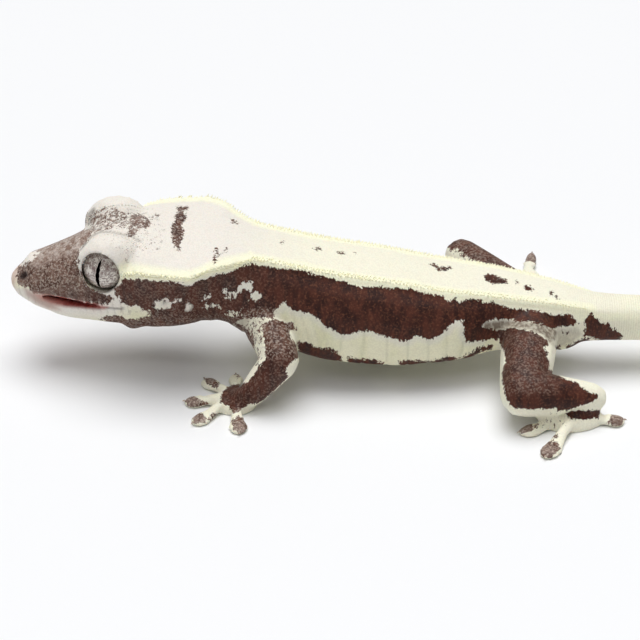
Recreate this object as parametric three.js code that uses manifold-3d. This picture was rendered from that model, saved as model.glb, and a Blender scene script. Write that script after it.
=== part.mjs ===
// A crested gecko, life size, standing mid-step on a flat floor.
// Millimetres, +Z up. The snout points to -X, the animal's left side faces -Y.
// The body is one continuous form, from a table of cross-sections along the spine, parted at the joints by thin gaps.
import * as THREE from "three";
import { mergeVertices } from "three/addons/utils/BufferGeometryUtils.js";
import Module from "manifold-3d";

const wasm = await Module();
wasm.setup();

// Driving dimensions
const GAP = 0.3;
const SNOUT_LENGTH = 17.4;
const TAIL_TIP = 184;
const FLOOR = 0;

// The head is rigid: where the point between the eyes is, and how the head is turned
const HEAD = {
  origin: new THREE.Vector3(-39.8, 1.4, 23.4),
  noseDown: THREE.MathUtils.degToRad(10),
  turnedAway: THREE.MathUtils.degToRad(4),
  roll: THREE.MathUtils.degToRad(6),
};

// The spine behind the head, as [x, y, z]
const SPINE_ROUTE = [
  [-23.1, 0.7, 26.15],
  [-19.2, 0.5, 26.15],
  [-15.3, 0.3, 25.5],
  [-9.3, 0.1, 23.9],
  [0, 0, 20.9],
  [15, 0, 16.2],
  [30, 0, 12.6],
  [43, 0, 10.4],
  [54, 0, 9.7],
  [66, 0.4, 9.2],
  [80, 2.2, 7.2],
  [94, 4.2, 4.4],
  [107, 4.8, 2.7],
  [119, 3.2, 1.9],
  [129, -0.8, 1.45],
  [137, -6.2, 1.1],
];

// Cross-sections of the body, `at` millimetres behind the eyes, measured from the spine:
// the underside, the widest half-width and its height, the crest line's half-width and height, and the middle of the
// back. `box` is how square the underside is: 2 is an ellipse.
const FIELDS = ["at", "under", "sideHalf", "side", "crestHalf", "crest", "top", "box"];
const STATIONS = [
  [-15.2, -7.6, 4.5, -5.8, 2.5, -2.7, -1.9, 2.6],
  [-13, -8.9, 5.5, -6.0, 3.0, -1.1, 0.0, 2.6],
  [-11, -9.9, 6.3, -6.1, 3.3, -0.8, 0.2, 2.6],
  [-7, -11.7, 7.5, -6.2, 4.3, -0.2, 1.2, 2.6],
  [-3, -12.7, 8.7, -6.3, 5.2, 0.6, 2.6, 2.6],
  [1, -13.5, 9.6, -6.4, 7.4, 1.6, 3.6, 2.6],
  [5, -14.3, 10.2, -6.4, 9.4, 0.1, 4.0, 2.5],
  [9, -15.0, 10.6, -6.4, 11.3, 0.7, 3.6, 2.5],
  [13, -15.6, 10.5, -6.4, 12.3, 0.1, 2.2, 2.4],
  [17.5, -15.8, 9.8, -6.8, 13.2, -0.6, 1.1, 2.2],
  [20.5, -15.0, 9.4, -7.0, 12.4, 0.3, 1.2, 2.2],
  [24.5, -14.4, 9.1, -7.6, 9.4, 0.2, 1.2, 2.2],
  [28, -14.9, 9.4, -8.0, 6.9, 0.5, 1.3, 2.2],
  [36, -15.3, 10.6, -8.8, 6.7, 1.1, 1.8, 2.3],
  [44, -15.8, 11.4, -8.3, 6.7, 2.0, 2.7, 2.4],
  [52, -13.9, 11.5, -6.9, 6.6, 3.2, 3.9, 2.5],
  [59, -11.6, 11.4, -5.5, 6.5, 3.7, 4.4, 2.5],
  [66, -8.9, 10.4, -4.2, 6.3, 4.2, 4.8, 2.5],
  [72, -7.2, 8.9, -3.2, 5.9, 4.6, 5.2, 2.4],
  [79, -6.2, 7.6, -2.2, 5.2, 4.6, 5.3, 2.3],
  [85, -5.3, 6.4, -1.4, 4.4, 4.2, 4.9, 2.2],
  [91, -4.5, 4.6, -0.5, 3.5, 3.2, 4.1, 2],
  [97, -4.2, 4.2, -0.1, 3.1, 2.9, 4.0, 2],
  [104, -4.1, 4.1, 0, 2.9, 2.9, 4.0, 2],
  [118, -3.8, 3.8, 0, 2.7, 2.6, 3.7, 2],
  [134, -3.2, 3.2, 0, 2.3, 2.2, 3.1, 2],
  [150, -2.6, 2.6, 0, 1.85, 1.8, 2.5, 2],
  [164, -2.0, 2.1, 0, 1.5, 1.35, 1.9, 2],
  [176, -1.3, 2.0, 0, 1.5, 0.75, 1.1, 2],
  [TAIL_TIP, -1.0, 2.1, 0, 1.5, 0.6, 0.9, 2],
].map((row) => Object.fromEntries(FIELDS.map((field, i) => [field, row[i]])));

// Where the body is parted, in millimetres behind the eyes
const NAPE = 20.5;
const SHOULDER = 30;
const LOIN = 62;
const VENT = 89;
const TAIL_CUTS = [112, 136, 160];

// Head details, in the head's own frame: x towards the tail, y towards the animal's right, z up
const EYE = {
  x: 1.9,
  y: 5.5,
  z: -0.4,
  radius: 4.2,
  lid: 0.4,
  openWide: 3.2,
  openTall: 3.75,
  lean: 0.2,
  ahead: 0.1,
  lift: 0.25,
  rim: 0.34,
};
const BROW = { x: 2.8, y: 6.0, z: 1.5, radii: [5.8, 4.1, 4.3] };
const MOUTH = { front: -5.2, back: -7.0, corner: 3.9, jawEnd: 9.6, widest: 1.0, lipWall: 1.2 };
const NOSTRIL = { x: -14.0, y: 3.1, z: -2.4, radius: 0.62 };
const EAR = { x: 11.9, y: 10.7, z: -6.5, radii: [0.75, 1.2, 1.3] };
const THROAT_SWELL = { x: 4.2, y: 5.0, z: -12.3, radii: [2.4, 2.2, 1.9] };

// Crest: small spines along both edges of the crown and the back
const CREST = { from: 5.5, to: 87, spacing: 1.75, radius: 0.5, height: 0.6, sunk: 0.75, sides: 5 };
const LASH = { count: 7, radius: 0.45, height: 0.55, sunk: 0.6 };

// Colours
const finish = (color, roughness) => new THREE.MeshStandardMaterial({ color, roughness, metalness: 0 });
const CREAM = finish(0xf3ecc9, 0.6);
const BROWN = finish(0x4a2a22, 0.62);
const HEAD_TONE = finish(0xd9cfc0, 0.6);
const LIMB_TONE = finish(0x6b4a3e, 0.62);
const EYE_TONE = finish(0x9a9088, 0.15);
const TONGUE_TONE = finish(0xb0524a, 0.4);

// A closed mesh as a solid, turned right side out
function solidOf(geometry) {
  const bare = geometry.clone();
  bare.deleteAttribute("normal");
  bare.deleteAttribute("uv");
  const merged = mergeVertices(bare, 1e-4);
  const corners = new Uint32Array(merged.index.array);
  const build = () =>
    new wasm.Manifold(
      new wasm.Mesh({ numProp: 3, vertProperties: merged.attributes.position.array, triVerts: corners }),
    );
  const made = build();
  if (made.volume() > 0) return made;
  for (let i = 0; i < corners.length; i += 3) {
    [corners[i + 1], corners[i + 2]] = [corners[i + 2], corners[i + 1]];
  }
  return build();
}

// The largest closed body of a solid
function largest(solid) {
  const bodies = solid.decompose();
  return bodies.reduce((best, body) => (body.volume() > best.volume() ? body : best));
}

const joined = (solids) => largest(solids.reduce((whole, piece) => whole.add(piece)));

// A named mesh that holds a solid, with its position at the middle of the solid
function meshOf(name, solid, material) {
  const made = largest(solid).getMesh();
  const geometry = new THREE.BufferGeometry()
    .setAttribute("position", new THREE.BufferAttribute(new Float32Array(made.vertProperties), 3))
    .setIndex(new THREE.BufferAttribute(new Uint32Array(made.triVerts), 1));
  geometry.computeBoundingBox();
  const middle = geometry.boundingBox.getCenter(new THREE.Vector3());
  geometry.translate(-middle.x, -middle.y, -middle.z);
  geometry.computeVertexNormals();
  const mesh = new THREE.Mesh(geometry, material);
  mesh.name = name;
  mesh.position.copy(middle);
  return mesh;
}

// A sphere's grid carried onto any closed form: place(v, u) gives the point a share v along and u round it
function wrapped(rings, columns, place) {
  const geometry = new THREE.SphereGeometry(1, columns, rings);
  const { position, uv } = geometry.attributes;
  for (let i = 0; i < position.count; i++) {
    const ring = Math.floor(i / (columns + 1));
    const column = (i % (columns + 1)) % columns;
    const point = place(ring / rings, column / columns, ring, column);
    position.setXYZ(i, point.x, point.y, point.z);
  }
  return solidOf(geometry);
}

function ellipsoid(centre, radii, rings = 8, columns = 12) {
  const geometry = new THREE.SphereGeometry(1, columns, rings);
  geometry.scale(...radii);
  geometry.translate(...centre);
  return geometry;
}

// A cubic through the stations' values, for one field
function sizeAt(field, at) {
  const last = STATIONS.length - 1;
  if (at <= STATIONS[0].at) return STATIONS[0][field];
  if (at >= STATIONS[last].at) return STATIONS[last][field];
  const k = STATIONS.findIndex((station) => station.at > at) - 1;
  const [a, b] = [STATIONS[k], STATIONS[k + 1]];
  const span = b.at - a.at;
  const slope = (i) => {
    const [low, high] = [STATIONS[Math.max(0, i - 1)], STATIONS[Math.min(last, i + 1)]];
    return (high[field] - low[field]) / (high.at - low.at);
  };
  const t = (at - a.at) / span;
  const rise = t * t * (3 - 2 * t);
  return (
    a[field] * (1 - rise) +
    b[field] * rise +
    span * slope(k) * t * (1 - t) * (1 - t) -
    span * slope(k + 1) * t * t * (1 - t)
  );
}

// The spine: straight through the head, then along its route
const toTail = new THREE.Vector3(
  Math.cos(HEAD.noseDown) * Math.cos(HEAD.turnedAway),
  -Math.sin(HEAD.turnedAway),
  Math.sin(HEAD.noseDown),
);
const headPoint = (at) => HEAD.origin.clone().addScaledVector(toTail, at);
const spine = new THREE.CatmullRomCurve3([
  ...[-SNOUT_LENGTH, -8, 0, 7, 13].map(headPoint),
  ...SPINE_ROUTE.map((point) => new THREE.Vector3(...point)),
]);
spine.arcLengthDivisions = 800;
const spineLength = spine.getLength();

// The frame of the spine at a place behind the eyes: its point, and the ways back, right and up
function frameAt(at) {
  const share = THREE.MathUtils.clamp((at + SNOUT_LENGTH) / spineLength, 0, 1);
  const point = spine.getPointAt(share);
  const back = spine.getTangentAt(share);
  const level = new THREE.Vector3(0, 0, 1).cross(back).normalize();
  const upright = back.clone().cross(level);
  const roll = HEAD.roll * (1 - THREE.MathUtils.smoothstep(at, 12, 34));
  const right = level.clone().multiplyScalar(Math.cos(roll)).addScaledVector(upright, Math.sin(roll));
  const up = upright.clone().multiplyScalar(Math.cos(roll)).addScaledVector(level, -Math.sin(roll));
  return { point, back, right, up };
}

const inFrame = (frame, y, z) =>
  frame.point.clone().addScaledVector(frame.right, y).addScaledVector(frame.up, z);

// Half of a cross-section, from the underside (0) by the crest (1) to the middle of the back (2)
function halfSection(at, t, grow) {
  const size = (field) => sizeAt(field, at);
  const [sideHalf, side] = [size("sideHalf") + grow, size("side")];
  const [crestHalf, crest] = [size("crestHalf") + grow, size("crest") + grow];
  const [under, top] = [size("under") - grow, size("top") + grow];
  const flankShare = 0.6;
  if (t <= flankShare) {
    const angle = (t / flankShare) * (Math.PI / 2);
    const power = 2 / size("box");
    return [sideHalf * Math.sin(angle) ** power, side + (under - side) * Math.cos(angle) ** power];
  }
  const bezier = (k, a, b, c) => (1 - k) * (1 - k) * a + 2 * k * (1 - k) * b + k * k * c;
  if (t <= 1) {
    const k = (t - flankShare) / (1 - flankShare);
    return [bezier(k, sideHalf, sideHalf, crestHalf), bezier(k, side, side + 0.6 * (crest - side), crest)];
  }
  return [bezier(t - 1, crestHalf, crestHalf * 0.5, 0), bezier(t - 1, crest, top, top)];
}

// Columns round a section: this many from the underside to the crest, and from there to the middle of the back
const LOWER_COLUMNS = 8;
const UPPER_COLUMNS = 4;

// The body between two places, with flat ends, or with a rounded snout or tail tip
function bodyBetween(from, to, rings, { grow = 0, lower = LOWER_COLUMNS, upper = UPPER_COLUMNS } = {}) {
  const half = lower + upper;
  const roundSnout = from <= -SNOUT_LENGTH;
  const roundTip = to >= TAIL_TIP;
  const snoutDome = 5.2;
  const tipDome = 3;
  return wrapped(rings, half * 2, (v, u, ring, column) => {
    const share = THREE.MathUtils.clamp((ring - 1) / (rings - 2), 0, 1);
    const eased = roundSnout ? share ** 1.25 : share;
    const at = roundSnout && ring === 0 ? from : THREE.MathUtils.lerp(from + (roundSnout ? 0.25 : 0), to, eased);
    let scale = 1;
    if (roundSnout) scale = Math.sqrt(Math.max(0, 1 - Math.max(0, 1 - (at - from) / snoutDome) ** 2.4));
    if (roundTip) scale = Math.sqrt(Math.max(0, 1 - Math.max(0, (at - (to - tipDome)) / tipDome) ** 2));
    const pole = ring === 0 || ring === rings || (roundTip && ring === rings - 1 && scale === 0);
    const middle = (sizeAt("under", at) + sizeAt("top", at)) / 2;
    const centre = roundSnout ? THREE.MathUtils.lerp(-4.4, middle, Math.min(1, (at - from) / 12)) : middle;
    if (pole) return inFrame(frameAt(at), 0, centre);
    const k = column <= half ? column : 2 * half - column;
    const t = k <= lower ? k / lower : 1 + (k - lower) / upper;
    const [y, z] = halfSection(at, t, grow);
    const sign = column <= half ? 1 : -1;
    return inFrame(frameAt(at), sign * y * scale, centre + (z - centre) * scale);
  });
}

// A point of the crest line, with the way out of the skin there
function crestAt(at, side) {
  const frame = frameAt(at);
  const point = inFrame(frame, side * sizeAt("crestHalf", at), sizeAt("crest", at));
  const out = new THREE.Vector3()
    .addScaledVector(frame.right, side * 0.75)
    .addScaledVector(frame.up, 0.6)
    .addScaledVector(frame.back, 0.25)
    .normalize();
  return { point, out };
}

// A small tapered spine with its root sunk into the skin
function thorn(point, out, radius, height, sunk, sides = CREST.sides) {
  const geometry = new THREE.ConeGeometry(radius, height + sunk, sides);
  geometry.translate(0, (height - sunk) / 2, 0);
  geometry.applyQuaternion(new THREE.Quaternion().setFromUnitVectors(new THREE.Vector3(0, 1, 0), out));
  geometry.translate(point.x, point.y, point.z);
  return solidOf(geometry);
}

// The places of the crest spines along one side, evenly spaced on the skin
function crestPlaces(side) {
  const places = [];
  const step = 0.1;
  let walked = CREST.spacing;
  let last = crestAt(CREST.from, side).point;
  for (let at = CREST.from; at < CREST.to; at += step) {
    const { point } = crestAt(at, side);
    walked += point.distanceTo(last);
    last = point;
    if (walked < CREST.spacing) continue;
    places.push(at);
    walked = 0;
  }
  return places;
}

// The crest spines between two places, on both sides, a little uneven as real ones are
function crestThorns(from, to) {
  const thorns = [];
  const room = CREST.radius + GAP;
  for (const side of [-1, 1]) {
    crestPlaces(side).forEach((at, i) => {
      if (at < from + room || at > to - room) return;
      const corner = 1 + 0.35 * Math.exp(-(((at - 17) / 5) ** 2));
      const fading = 1 - 0.35 * THREE.MathUtils.smoothstep(at, 60, CREST.to);
      const uneven = 1 + 0.12 * Math.sin(i * 2.4 + side);
      const { point, out } = crestAt(at, side);
      thorns.push(thorn(point, out, CREST.radius, CREST.height * corner * fading * uneven, CREST.sunk));
    });
  }
  return thorns;
}

// A great block on one side of a plane, to cut with
function beyond(point, way) {
  const reach = 400;
  const block = new THREE.BoxGeometry(reach, reach, reach);
  block.translate(0, 0, reach / 2);
  block.applyQuaternion(new THREE.Quaternion().setFromUnitVectors(new THREE.Vector3(0, 0, 1), way));
  block.translate(point.x, point.y, point.z);
  return solidOf(block);
}

// A length of the body, cut square to the spine at either end so that it keeps half a gap to the next length
function lengthOf(solid, from, to) {
  let length = solid;
  for (const [at, sign] of [[from, -1], [to, 1]]) {
    if (at <= -SNOUT_LENGTH || at >= TAIL_TIP) continue;
    const { point, back } = frameAt(at);
    const way = back.clone().multiplyScalar(sign);
    length = length.subtract(beyond(point.clone().addScaledVector(way, -GAP / 2), way));
  }
  return length;
}

const OVERRUN = 0.8;
const belowFloor = beyond(new THREE.Vector3(0, 0, FLOOR), new THREE.Vector3(0, 0, -1));

// Head
const headFrame = frameAt(0);
const headMatrix = new THREE.Matrix4()
  .makeBasis(headFrame.back, headFrame.right, headFrame.up)
  .setPosition(headFrame.point);
const inHead = (geometry) => solidOf(geometry.applyMatrix4(headMatrix));
const headVector = (x, y, z) => new THREE.Vector3(x, y, z).applyMatrix4(headMatrix);

// The height of the lips' edge
const lipLine = (x) =>
  THREE.MathUtils.lerp(MOUTH.front, MOUTH.back, THREE.MathUtils.smoothstep(x, -11, MOUTH.corner));

// The cut between the jaws: open a little in front, thin behind, and down through the throat at the jaw's end
function jawCut() {
  const { corner, jawEnd, widest } = MOUTH;
  const front = -SNOUT_LENGTH - 2;
  const steps = 14;
  const openAt = (x) => {
    const share = THREE.MathUtils.clamp((x + 15.5) / (corner + 15.5), 0, 1);
    return GAP + (widest - GAP) * Math.sin(Math.PI * share) ** 1.5;
  };
  const places = Array.from({ length: steps + 1 }, (_, i) => THREE.MathUtils.lerp(front, corner, i / steps));
  const upper = places.map((x) => [x, lipLine(x) + GAP / 2]);
  const lower = places.map((x) => [x, lipLine(x) + GAP / 2 - openAt(x)]).reverse();
  const back = [
    [jawEnd + GAP, lipLine(jawEnd) + GAP / 2],
    [jawEnd + GAP, -22],
    [jawEnd, -22],
    [jawEnd, lipLine(jawEnd) - GAP / 2],
  ];
  const outline = [...upper, ...back, ...lower];
  const shape = new THREE.Shape(outline.map(([x, z]) => new THREE.Vector2(x, z)));
  const geometry = new THREE.ExtrudeGeometry(shape, { depth: 40, bevelEnabled: false });
  geometry.translate(0, 0, -20);
  geometry.rotateX(Math.PI / 2);
  return inHead(geometry);
}

// The tongue, or the room it lies in when grown by a gap
function tongueForm(grow) {
  const [front, back] = [-13.4, 0.5];
  return wrapped(8, 12, (v, u) => {
    const share = 0.5 - 0.5 * Math.cos(Math.PI * v);
    const x = THREE.MathUtils.lerp(front - grow, back + grow, share);
    const round = Math.sin(Math.PI * v);
    const wide = (sizeAt("sideHalf", x) - MOUTH.lipWall - GAP) * Math.sqrt(round);
    const angle = 2 * Math.PI * u;
    const thick = 0.75 * round;
    const point = headVector(
      x,
      (wide + grow * round) * Math.cos(angle),
      lipLine(x) - 0.7 + (thick + grow * round) * Math.sin(angle),
    );
    return point;
  });
}

// The way an eye looks, in the head's frame
const gaze = (side) => new THREE.Vector3(-Math.sin(EYE.ahead), side * Math.cos(EYE.ahead), EYE.lift).normalize();

// The opening of the lids, as a drum along the gaze
function lidDrum(side, wide, tall, from, to) {
  const drum = new THREE.CylinderGeometry(1, 1, to - from, 18);
  drum.translate(0, (from + to) / 2, 0);
  drum.scale(wide, 1, tall);
  drum.rotateY(side * EYE.lean);
  drum.applyQuaternion(new THREE.Quaternion().setFromUnitVectors(new THREE.Vector3(0, 1, 0), gaze(side)));
  drum.translate(EYE.x, side * EYE.y, EYE.z);
  return drum;
}

// The raised edge of the lids
function lidRim(side) {
  const rim = new THREE.TorusGeometry(1, EYE.rim / EYE.openWide, 5, 18);
  rim.rotateX(Math.PI / 2);
  rim.scale(EYE.openWide + 0.1, EYE.openWide, EYE.openTall + 0.1);
  rim.rotateY(side * EYE.lean);
  rim.translate(0, Math.sqrt(EYE.radius ** 2 - EYE.openWide ** 2) + GAP, 0);
  rim.applyQuaternion(new THREE.Quaternion().setFromUnitVectors(new THREE.Vector3(0, 1, 0), gaze(side)));
  rim.translate(EYE.x, side * EYE.y, EYE.z);
  return rim;
}

// Short spines along the top of the brow, like lashes
function browThorns(side) {
  const thorns = [];
  for (let i = 0; i < LASH.count; i++) {
    const turn = THREE.MathUtils.lerp(-1.15, 0.95, i / (LASH.count - 1));
    const lift = 1.02;
    const way = new THREE.Vector3(Math.sin(turn), side * 0.5, Math.cos(turn) * 0.95).normalize();
    const point = headVector(
      BROW.x + BROW.radii[0] * way.x,
      side * BROW.y + BROW.radii[1] * way.y,
      BROW.z + BROW.radii[2] * way.z,
    );
    const out = way.clone().multiplyScalar(lift).transformDirection(headMatrix);
    const size = 1 + 0.15 * Math.sin(i * 2.1);
    thorns.push(thorn(point, out, LASH.radius, LASH.height * size, LASH.sunk));
  }
  return thorns;
}

function wholeHead() {
  const pieces = [bodyBetween(-SNOUT_LENGTH, NAPE + OVERRUN, 20)];
  for (const side of [-1, 1]) {
    const lid = EYE.radius + GAP + EYE.lid;
    pieces.push(inHead(ellipsoid([EYE.x, side * EYE.y, EYE.z], [lid, lid, lid], 10, 14)));
    pieces.push(inHead(ellipsoid([BROW.x, side * BROW.y, BROW.z], BROW.radii, 10, 14)));
    pieces.push(...browThorns(side));
  }
  pieces.push(inHead(ellipsoid([THROAT_SWELL.x, -THROAT_SWELL.y, THROAT_SWELL.z], THROAT_SWELL.radii)));
  pieces.push(...crestThorns(-SNOUT_LENGTH, NAPE));
  let whole = lengthOf(joined(pieces), -SNOUT_LENGTH, NAPE);
  for (const side of [-1, 1]) {
    const socket = EYE.radius + GAP;
    whole = whole.subtract(inHead(lidDrum(side, EYE.openWide, EYE.openTall, 0, 9)));
    whole = whole.subtract(inHead(ellipsoid([EYE.x, side * EYE.y, EYE.z], [socket, socket, socket], 9, 14)));
    const lid = inHead(lidRim(side)).subtract(
      inHead(ellipsoid([EYE.x, side * EYE.y, EYE.z], [socket, socket, socket], 9, 14)),
    );
    whole = whole.add(lid);
    const pit = [NOSTRIL.radius * 1.2, NOSTRIL.radius * 1.5, NOSTRIL.radius];
    whole = whole.subtract(inHead(ellipsoid([NOSTRIL.x, side * NOSTRIL.y, NOSTRIL.z], pit, 6, 8)));
    whole = whole.subtract(inHead(ellipsoid([EAR.x, side * EAR.y, EAR.z], EAR.radii, 6, 8)));
  }
  return whole.subtract(tongueForm(GAP));
}

function headParts() {
  const parted = wholeHead().subtract(jawCut()).decompose();
  parted.sort((a, b) => b.volume() - a.volume());
  const eyes = [-1, 1].map((side) =>
    inHead(ellipsoid([EYE.x, side * EYE.y, EYE.z], [EYE.radius, EYE.radius, EYE.radius], 10, 14)),
  );
  return [
    meshOf("head", parted[0], HEAD_TONE),
    meshOf("lower_jaw", parted[1], HEAD_TONE),
    meshOf("tongue", tongueForm(0), TONGUE_TONE),
    meshOf("eye_left", eyes[0], EYE_TONE),
    meshOf("eye_right", eyes[1], EYE_TONE),
  ];
}

// Neck, trunk and tail
function trunkParts() {
  const lengths = [
    ["neck", NAPE, SHOULDER, 7, CREAM],
    ["chest", SHOULDER, LOIN, 14, BROWN],
    ["pelvis", LOIN, VENT, 12, BROWN],
  ];
  return lengths.map(([name, from, to, rings, material]) => {
    const form = bodyBetween(from - OVERRUN, to + OVERRUN, rings);
    return meshOf(name, lengthOf(joined([form, ...crestThorns(from, to)]), from, to), material);
  });
}

function tailParts() {
  const ends = [VENT, ...TAIL_CUTS, TAIL_TIP];
  return ends.slice(1).map((to, i) => {
    const tip = to === TAIL_TIP;
    const form = bodyBetween(ends[i] - OVERRUN, tip ? to : to + OVERRUN, tip ? 12 : 10, { lower: 5, upper: 3 });
    return meshOf(`tail_${i + 1}`, lengthOf(form, ends[i], to).subtract(belowFloor), CREAM);
  });
}

// Limbs, each from its root to its foot. Places are [x, y, z] and sizes are half-widths.
const FORE_SIZES = { root: 4.2, joint: 3.3, end: 2.3, swell: 0.15 };
const HIND_SIZES = { root: 5.1, joint: 4.2, end: 2.7, swell: 0.2 };
const LEGS = [
  {
    name: "fore_left",
    sizes: FORE_SIZES,
    root: [-10.3, -6.3, 13.9],
    joint: [-6.9, -15, 9.5],
    end: [-12.4, -16.6, 3.2],
    sole: { centre: [-15.2, -14.9], half: [4.1, 3.7], turn: 0.1, height: 2.6 },
    toes: [
      [[-14.2, -25.2], 1.0],
      [[-22.5, -22.0], 1.0],
      [[-24.3, -14.6], 1.05],
      [[-21.0, -6.8], 1.0],
      [[-15.3, -5.2], 0.8],
    ],
  },
  {
    name: "fore_right",
    sizes: FORE_SIZES,
    root: [-10.3, 6.3, 13.9],
    joint: [-2.6, 15.2, 9.4],
    end: [-7.6, 19.6, 3.2],
    sole: { centre: [-9.4, 20.8], half: [4.0, 3.5], turn: -0.6, height: 2.6 },
    toes: [
      [[-3.8, 28.2], 1.0],
      [[-10.8, 30.4], 1.0],
      [[-17.4, 26.6], 1.05],
      [[-18.6, 18.8], 1.0],
      [[-14.4, 13.6], 0.8],
    ],
  },
  {
    name: "hind_left",
    sizes: HIND_SIZES,
    root: [38.0, -4.5, 9.8],
    joint: [35.7, -21.6, 6.5],
    end: [48.0, -19.6, 4.4],
    sole: { centre: [45.0, -21.4], half: [5.2, 2.8], turn: 0.25, height: 2.6 },
    toes: [
      [[53.9, -20.9], 1.1],
      [[38.9, -33.0], 1.1],
      [[34.9, -25.0], 1.05],
      [[38.2, -19.0], 0.9],
      [[43.0, -13.6], 0.8],
    ],
  },
  {
    name: "hind_right",
    sizes: { root: 4.8, joint: 3.3, end: 2.2, swell: 0.1 },
    root: [37.6, 4.5, 9.4],
    joint: [26.5, 19.6, 11.6],
    end: [36.4, 24.4, 3.2],
    sole: { centre: [39.6, 28.2], half: [5.0, 2.8], turn: 1.25, height: 2.6 },
    toes: [
      [[47.4, 24.4], 0.9],
      [[41.6, 40.8], 1.05],
      [[33.2, 35.4], 1.05],
      [[31.0, 28.8], 0.9],
      [[35.0, 21.6], 0.8],
    ],
  },
];
const TOE = { shaft: 0.95, neck: 0.85, pad: 1.75, padAt: 0.74, rootHeight: 1.5, padHeight: 0.55, claw: 1.0 };

// A tapered rod with round ends and a little swell of muscle between them
function rod(from, to, fromRadius, toRadius, swell, rings = 9, columns = 12) {
  const way = to.clone().sub(from);
  const length = way.length();
  way.normalize();
  const across = way.clone().cross(new THREE.Vector3(0, 0, 1)).normalize();
  const over = across.clone().cross(way);
  return wrapped(rings, columns, (v, u) => {
    const along = THREE.MathUtils.lerp(-fromRadius, length + toRadius, 0.5 - 0.5 * Math.cos(Math.PI * v));
    const share = THREE.MathUtils.clamp(along / length, 0, 1);
    let radius = THREE.MathUtils.lerp(fromRadius, toRadius, share) + swell * Math.sin(Math.PI * share);
    if (along < 0) radius = Math.sqrt(Math.max(0, fromRadius ** 2 - along ** 2));
    if (along > length) radius = Math.sqrt(Math.max(0, toRadius ** 2 - (along - length) ** 2));
    const angle = 2 * Math.PI * u;
    return from
      .clone()
      .addScaledVector(way, along)
      .addScaledVector(across, radius * Math.cos(angle))
      .addScaledVector(over, radius * Math.sin(angle));
  });
}

// A toe from inside the sole to its tip: a slim shaft, a broad flat pad and a small claw
function toeForm([tipX, tipY], scale, sole) {
  const root = new THREE.Vector2(...sole.centre);
  const tip = new THREE.Vector2(tipX, tipY);
  const way = tip.clone().sub(root);
  const length = way.length();
  way.normalize();
  const across = new THREE.Vector2(-way.y, way.x);
  const ease = THREE.MathUtils.smoothstep;
  const form = wrapped(8, 8, (v, u) => {
    const share = 0.12 + 0.88 * (0.5 - 0.5 * Math.cos(Math.PI * v ** 0.9));
    const shaft = THREE.MathUtils.lerp(TOE.shaft, TOE.neck, ease(share, 0.2, 0.55));
    const wide = (shaft + (TOE.pad - TOE.neck) * ease(share, 0.5, TOE.padAt)) * scale;
    const round = Math.sqrt(Math.max(0, 1 - Math.max(0, (share - 0.78) / 0.22) ** 2)) * (v > 0 ? 1 : 0);
    const tall = THREE.MathUtils.lerp(0.95, TOE.padHeight, ease(share, 0.3, 0.75));
    const middle = THREE.MathUtils.lerp(TOE.rootHeight, TOE.padHeight - 0.12, ease(share, 0.3, 0.8));
    const angle = 2 * Math.PI * u;
    const side = wide * round * Math.cos(angle);
    const flat = root.clone().addScaledVector(way, share * length).addScaledVector(across, side);
    return new THREE.Vector3(flat.x, flat.y, middle + tall * round * Math.sin(angle));
  });
  const clawRoot = new THREE.Vector3(tip.x - way.x * 0.7, tip.y - way.y * 0.7, 0.72);
  const clawWay = new THREE.Vector3(way.x, way.y, -0.12).normalize();
  return form.add(thorn(clawRoot, clawWay, 0.32, TOE.claw + 0.2, 0.5, 4));
}

function legParts({ name, sizes, root, joint, end, sole, toes }) {
  const [rootPoint, jointPoint, endPoint] = [root, joint, end].map((place) => new THREE.Vector3(...place));
  const [soleX, soleY] = sole.centre;
  const solePoint = new THREE.Vector3(soleX, soleY, 1.5);
  const upper = rod(rootPoint, jointPoint, sizes.root, sizes.joint, sizes.swell);
  const lower = rod(jointPoint, endPoint, sizes.joint, sizes.end, sizes.swell);
  const instep = rod(endPoint, solePoint, sizes.end, 1.5, 0, 7, 10);
  const pad = ellipsoid([0, 0, 0], [sole.half[0], sole.half[1], sole.height], 7, 12);
  pad.rotateZ(sole.turn);
  pad.translate(soleX, soleY, 0.35);
  const foot = joined([solidOf(pad), instep, ...toes.map(([tip, scale]) => toeForm(tip, scale, sole))]);

  const unit = (from, to) => to.clone().sub(from).normalize();
  const bend = unit(rootPoint, jointPoint).add(unit(jointPoint, endPoint)).normalize();
  const heel = unit(jointPoint, endPoint).add(unit(endPoint, solePoint)).normalize();
  const after = (point, way) => beyond(point.clone().addScaledVector(way, -GAP / 2), way);
  const before = (point, way) => beyond(point.clone().addScaledVector(way, GAP / 2), way.clone().negate());
  const names = name.startsWith("fore") ? ["upper_arm", "forearm", "hand"] : ["thigh", "shank", "foot"];
  return [
    meshOf(`${name}_${names[0]}`, upper.subtract(after(jointPoint, bend)).subtract(trunkRoom), LIMB_TONE),
    meshOf(
      `${name}_${names[1]}`,
      lower.subtract(before(jointPoint, bend)).subtract(after(endPoint, heel)).subtract(belowFloor),
      LIMB_TONE,
    ),
    meshOf(`${name}_${names[2]}`, foot.subtract(before(endPoint, heel)).subtract(belowFloor), LIMB_TONE),
  ];
}

// The trunk grown by the gap that a limb's root keeps to it
const trunkRoom = bodyBetween(NAPE, VENT, 26, { grow: GAP });

const gecko = new THREE.Group();
gecko.add(...headParts(), ...trunkParts(), ...tailParts(), ...LEGS.flatMap(legParts));

// The origin is on the floor, under the middle of the whole animal
const box = new THREE.Box3().setFromObject(gecko);
const middle = box.getCenter(new THREE.Vector3());
gecko.position.set(-middle.x, -middle.y, -box.min.z);

export default gecko;
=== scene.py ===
"""A crested gecko, life size, standing mid-step on a pale studio floor."""

import math

import bpy
import numpy as np
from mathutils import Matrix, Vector
from mathutils.bvhtree import BVHTree


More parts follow.
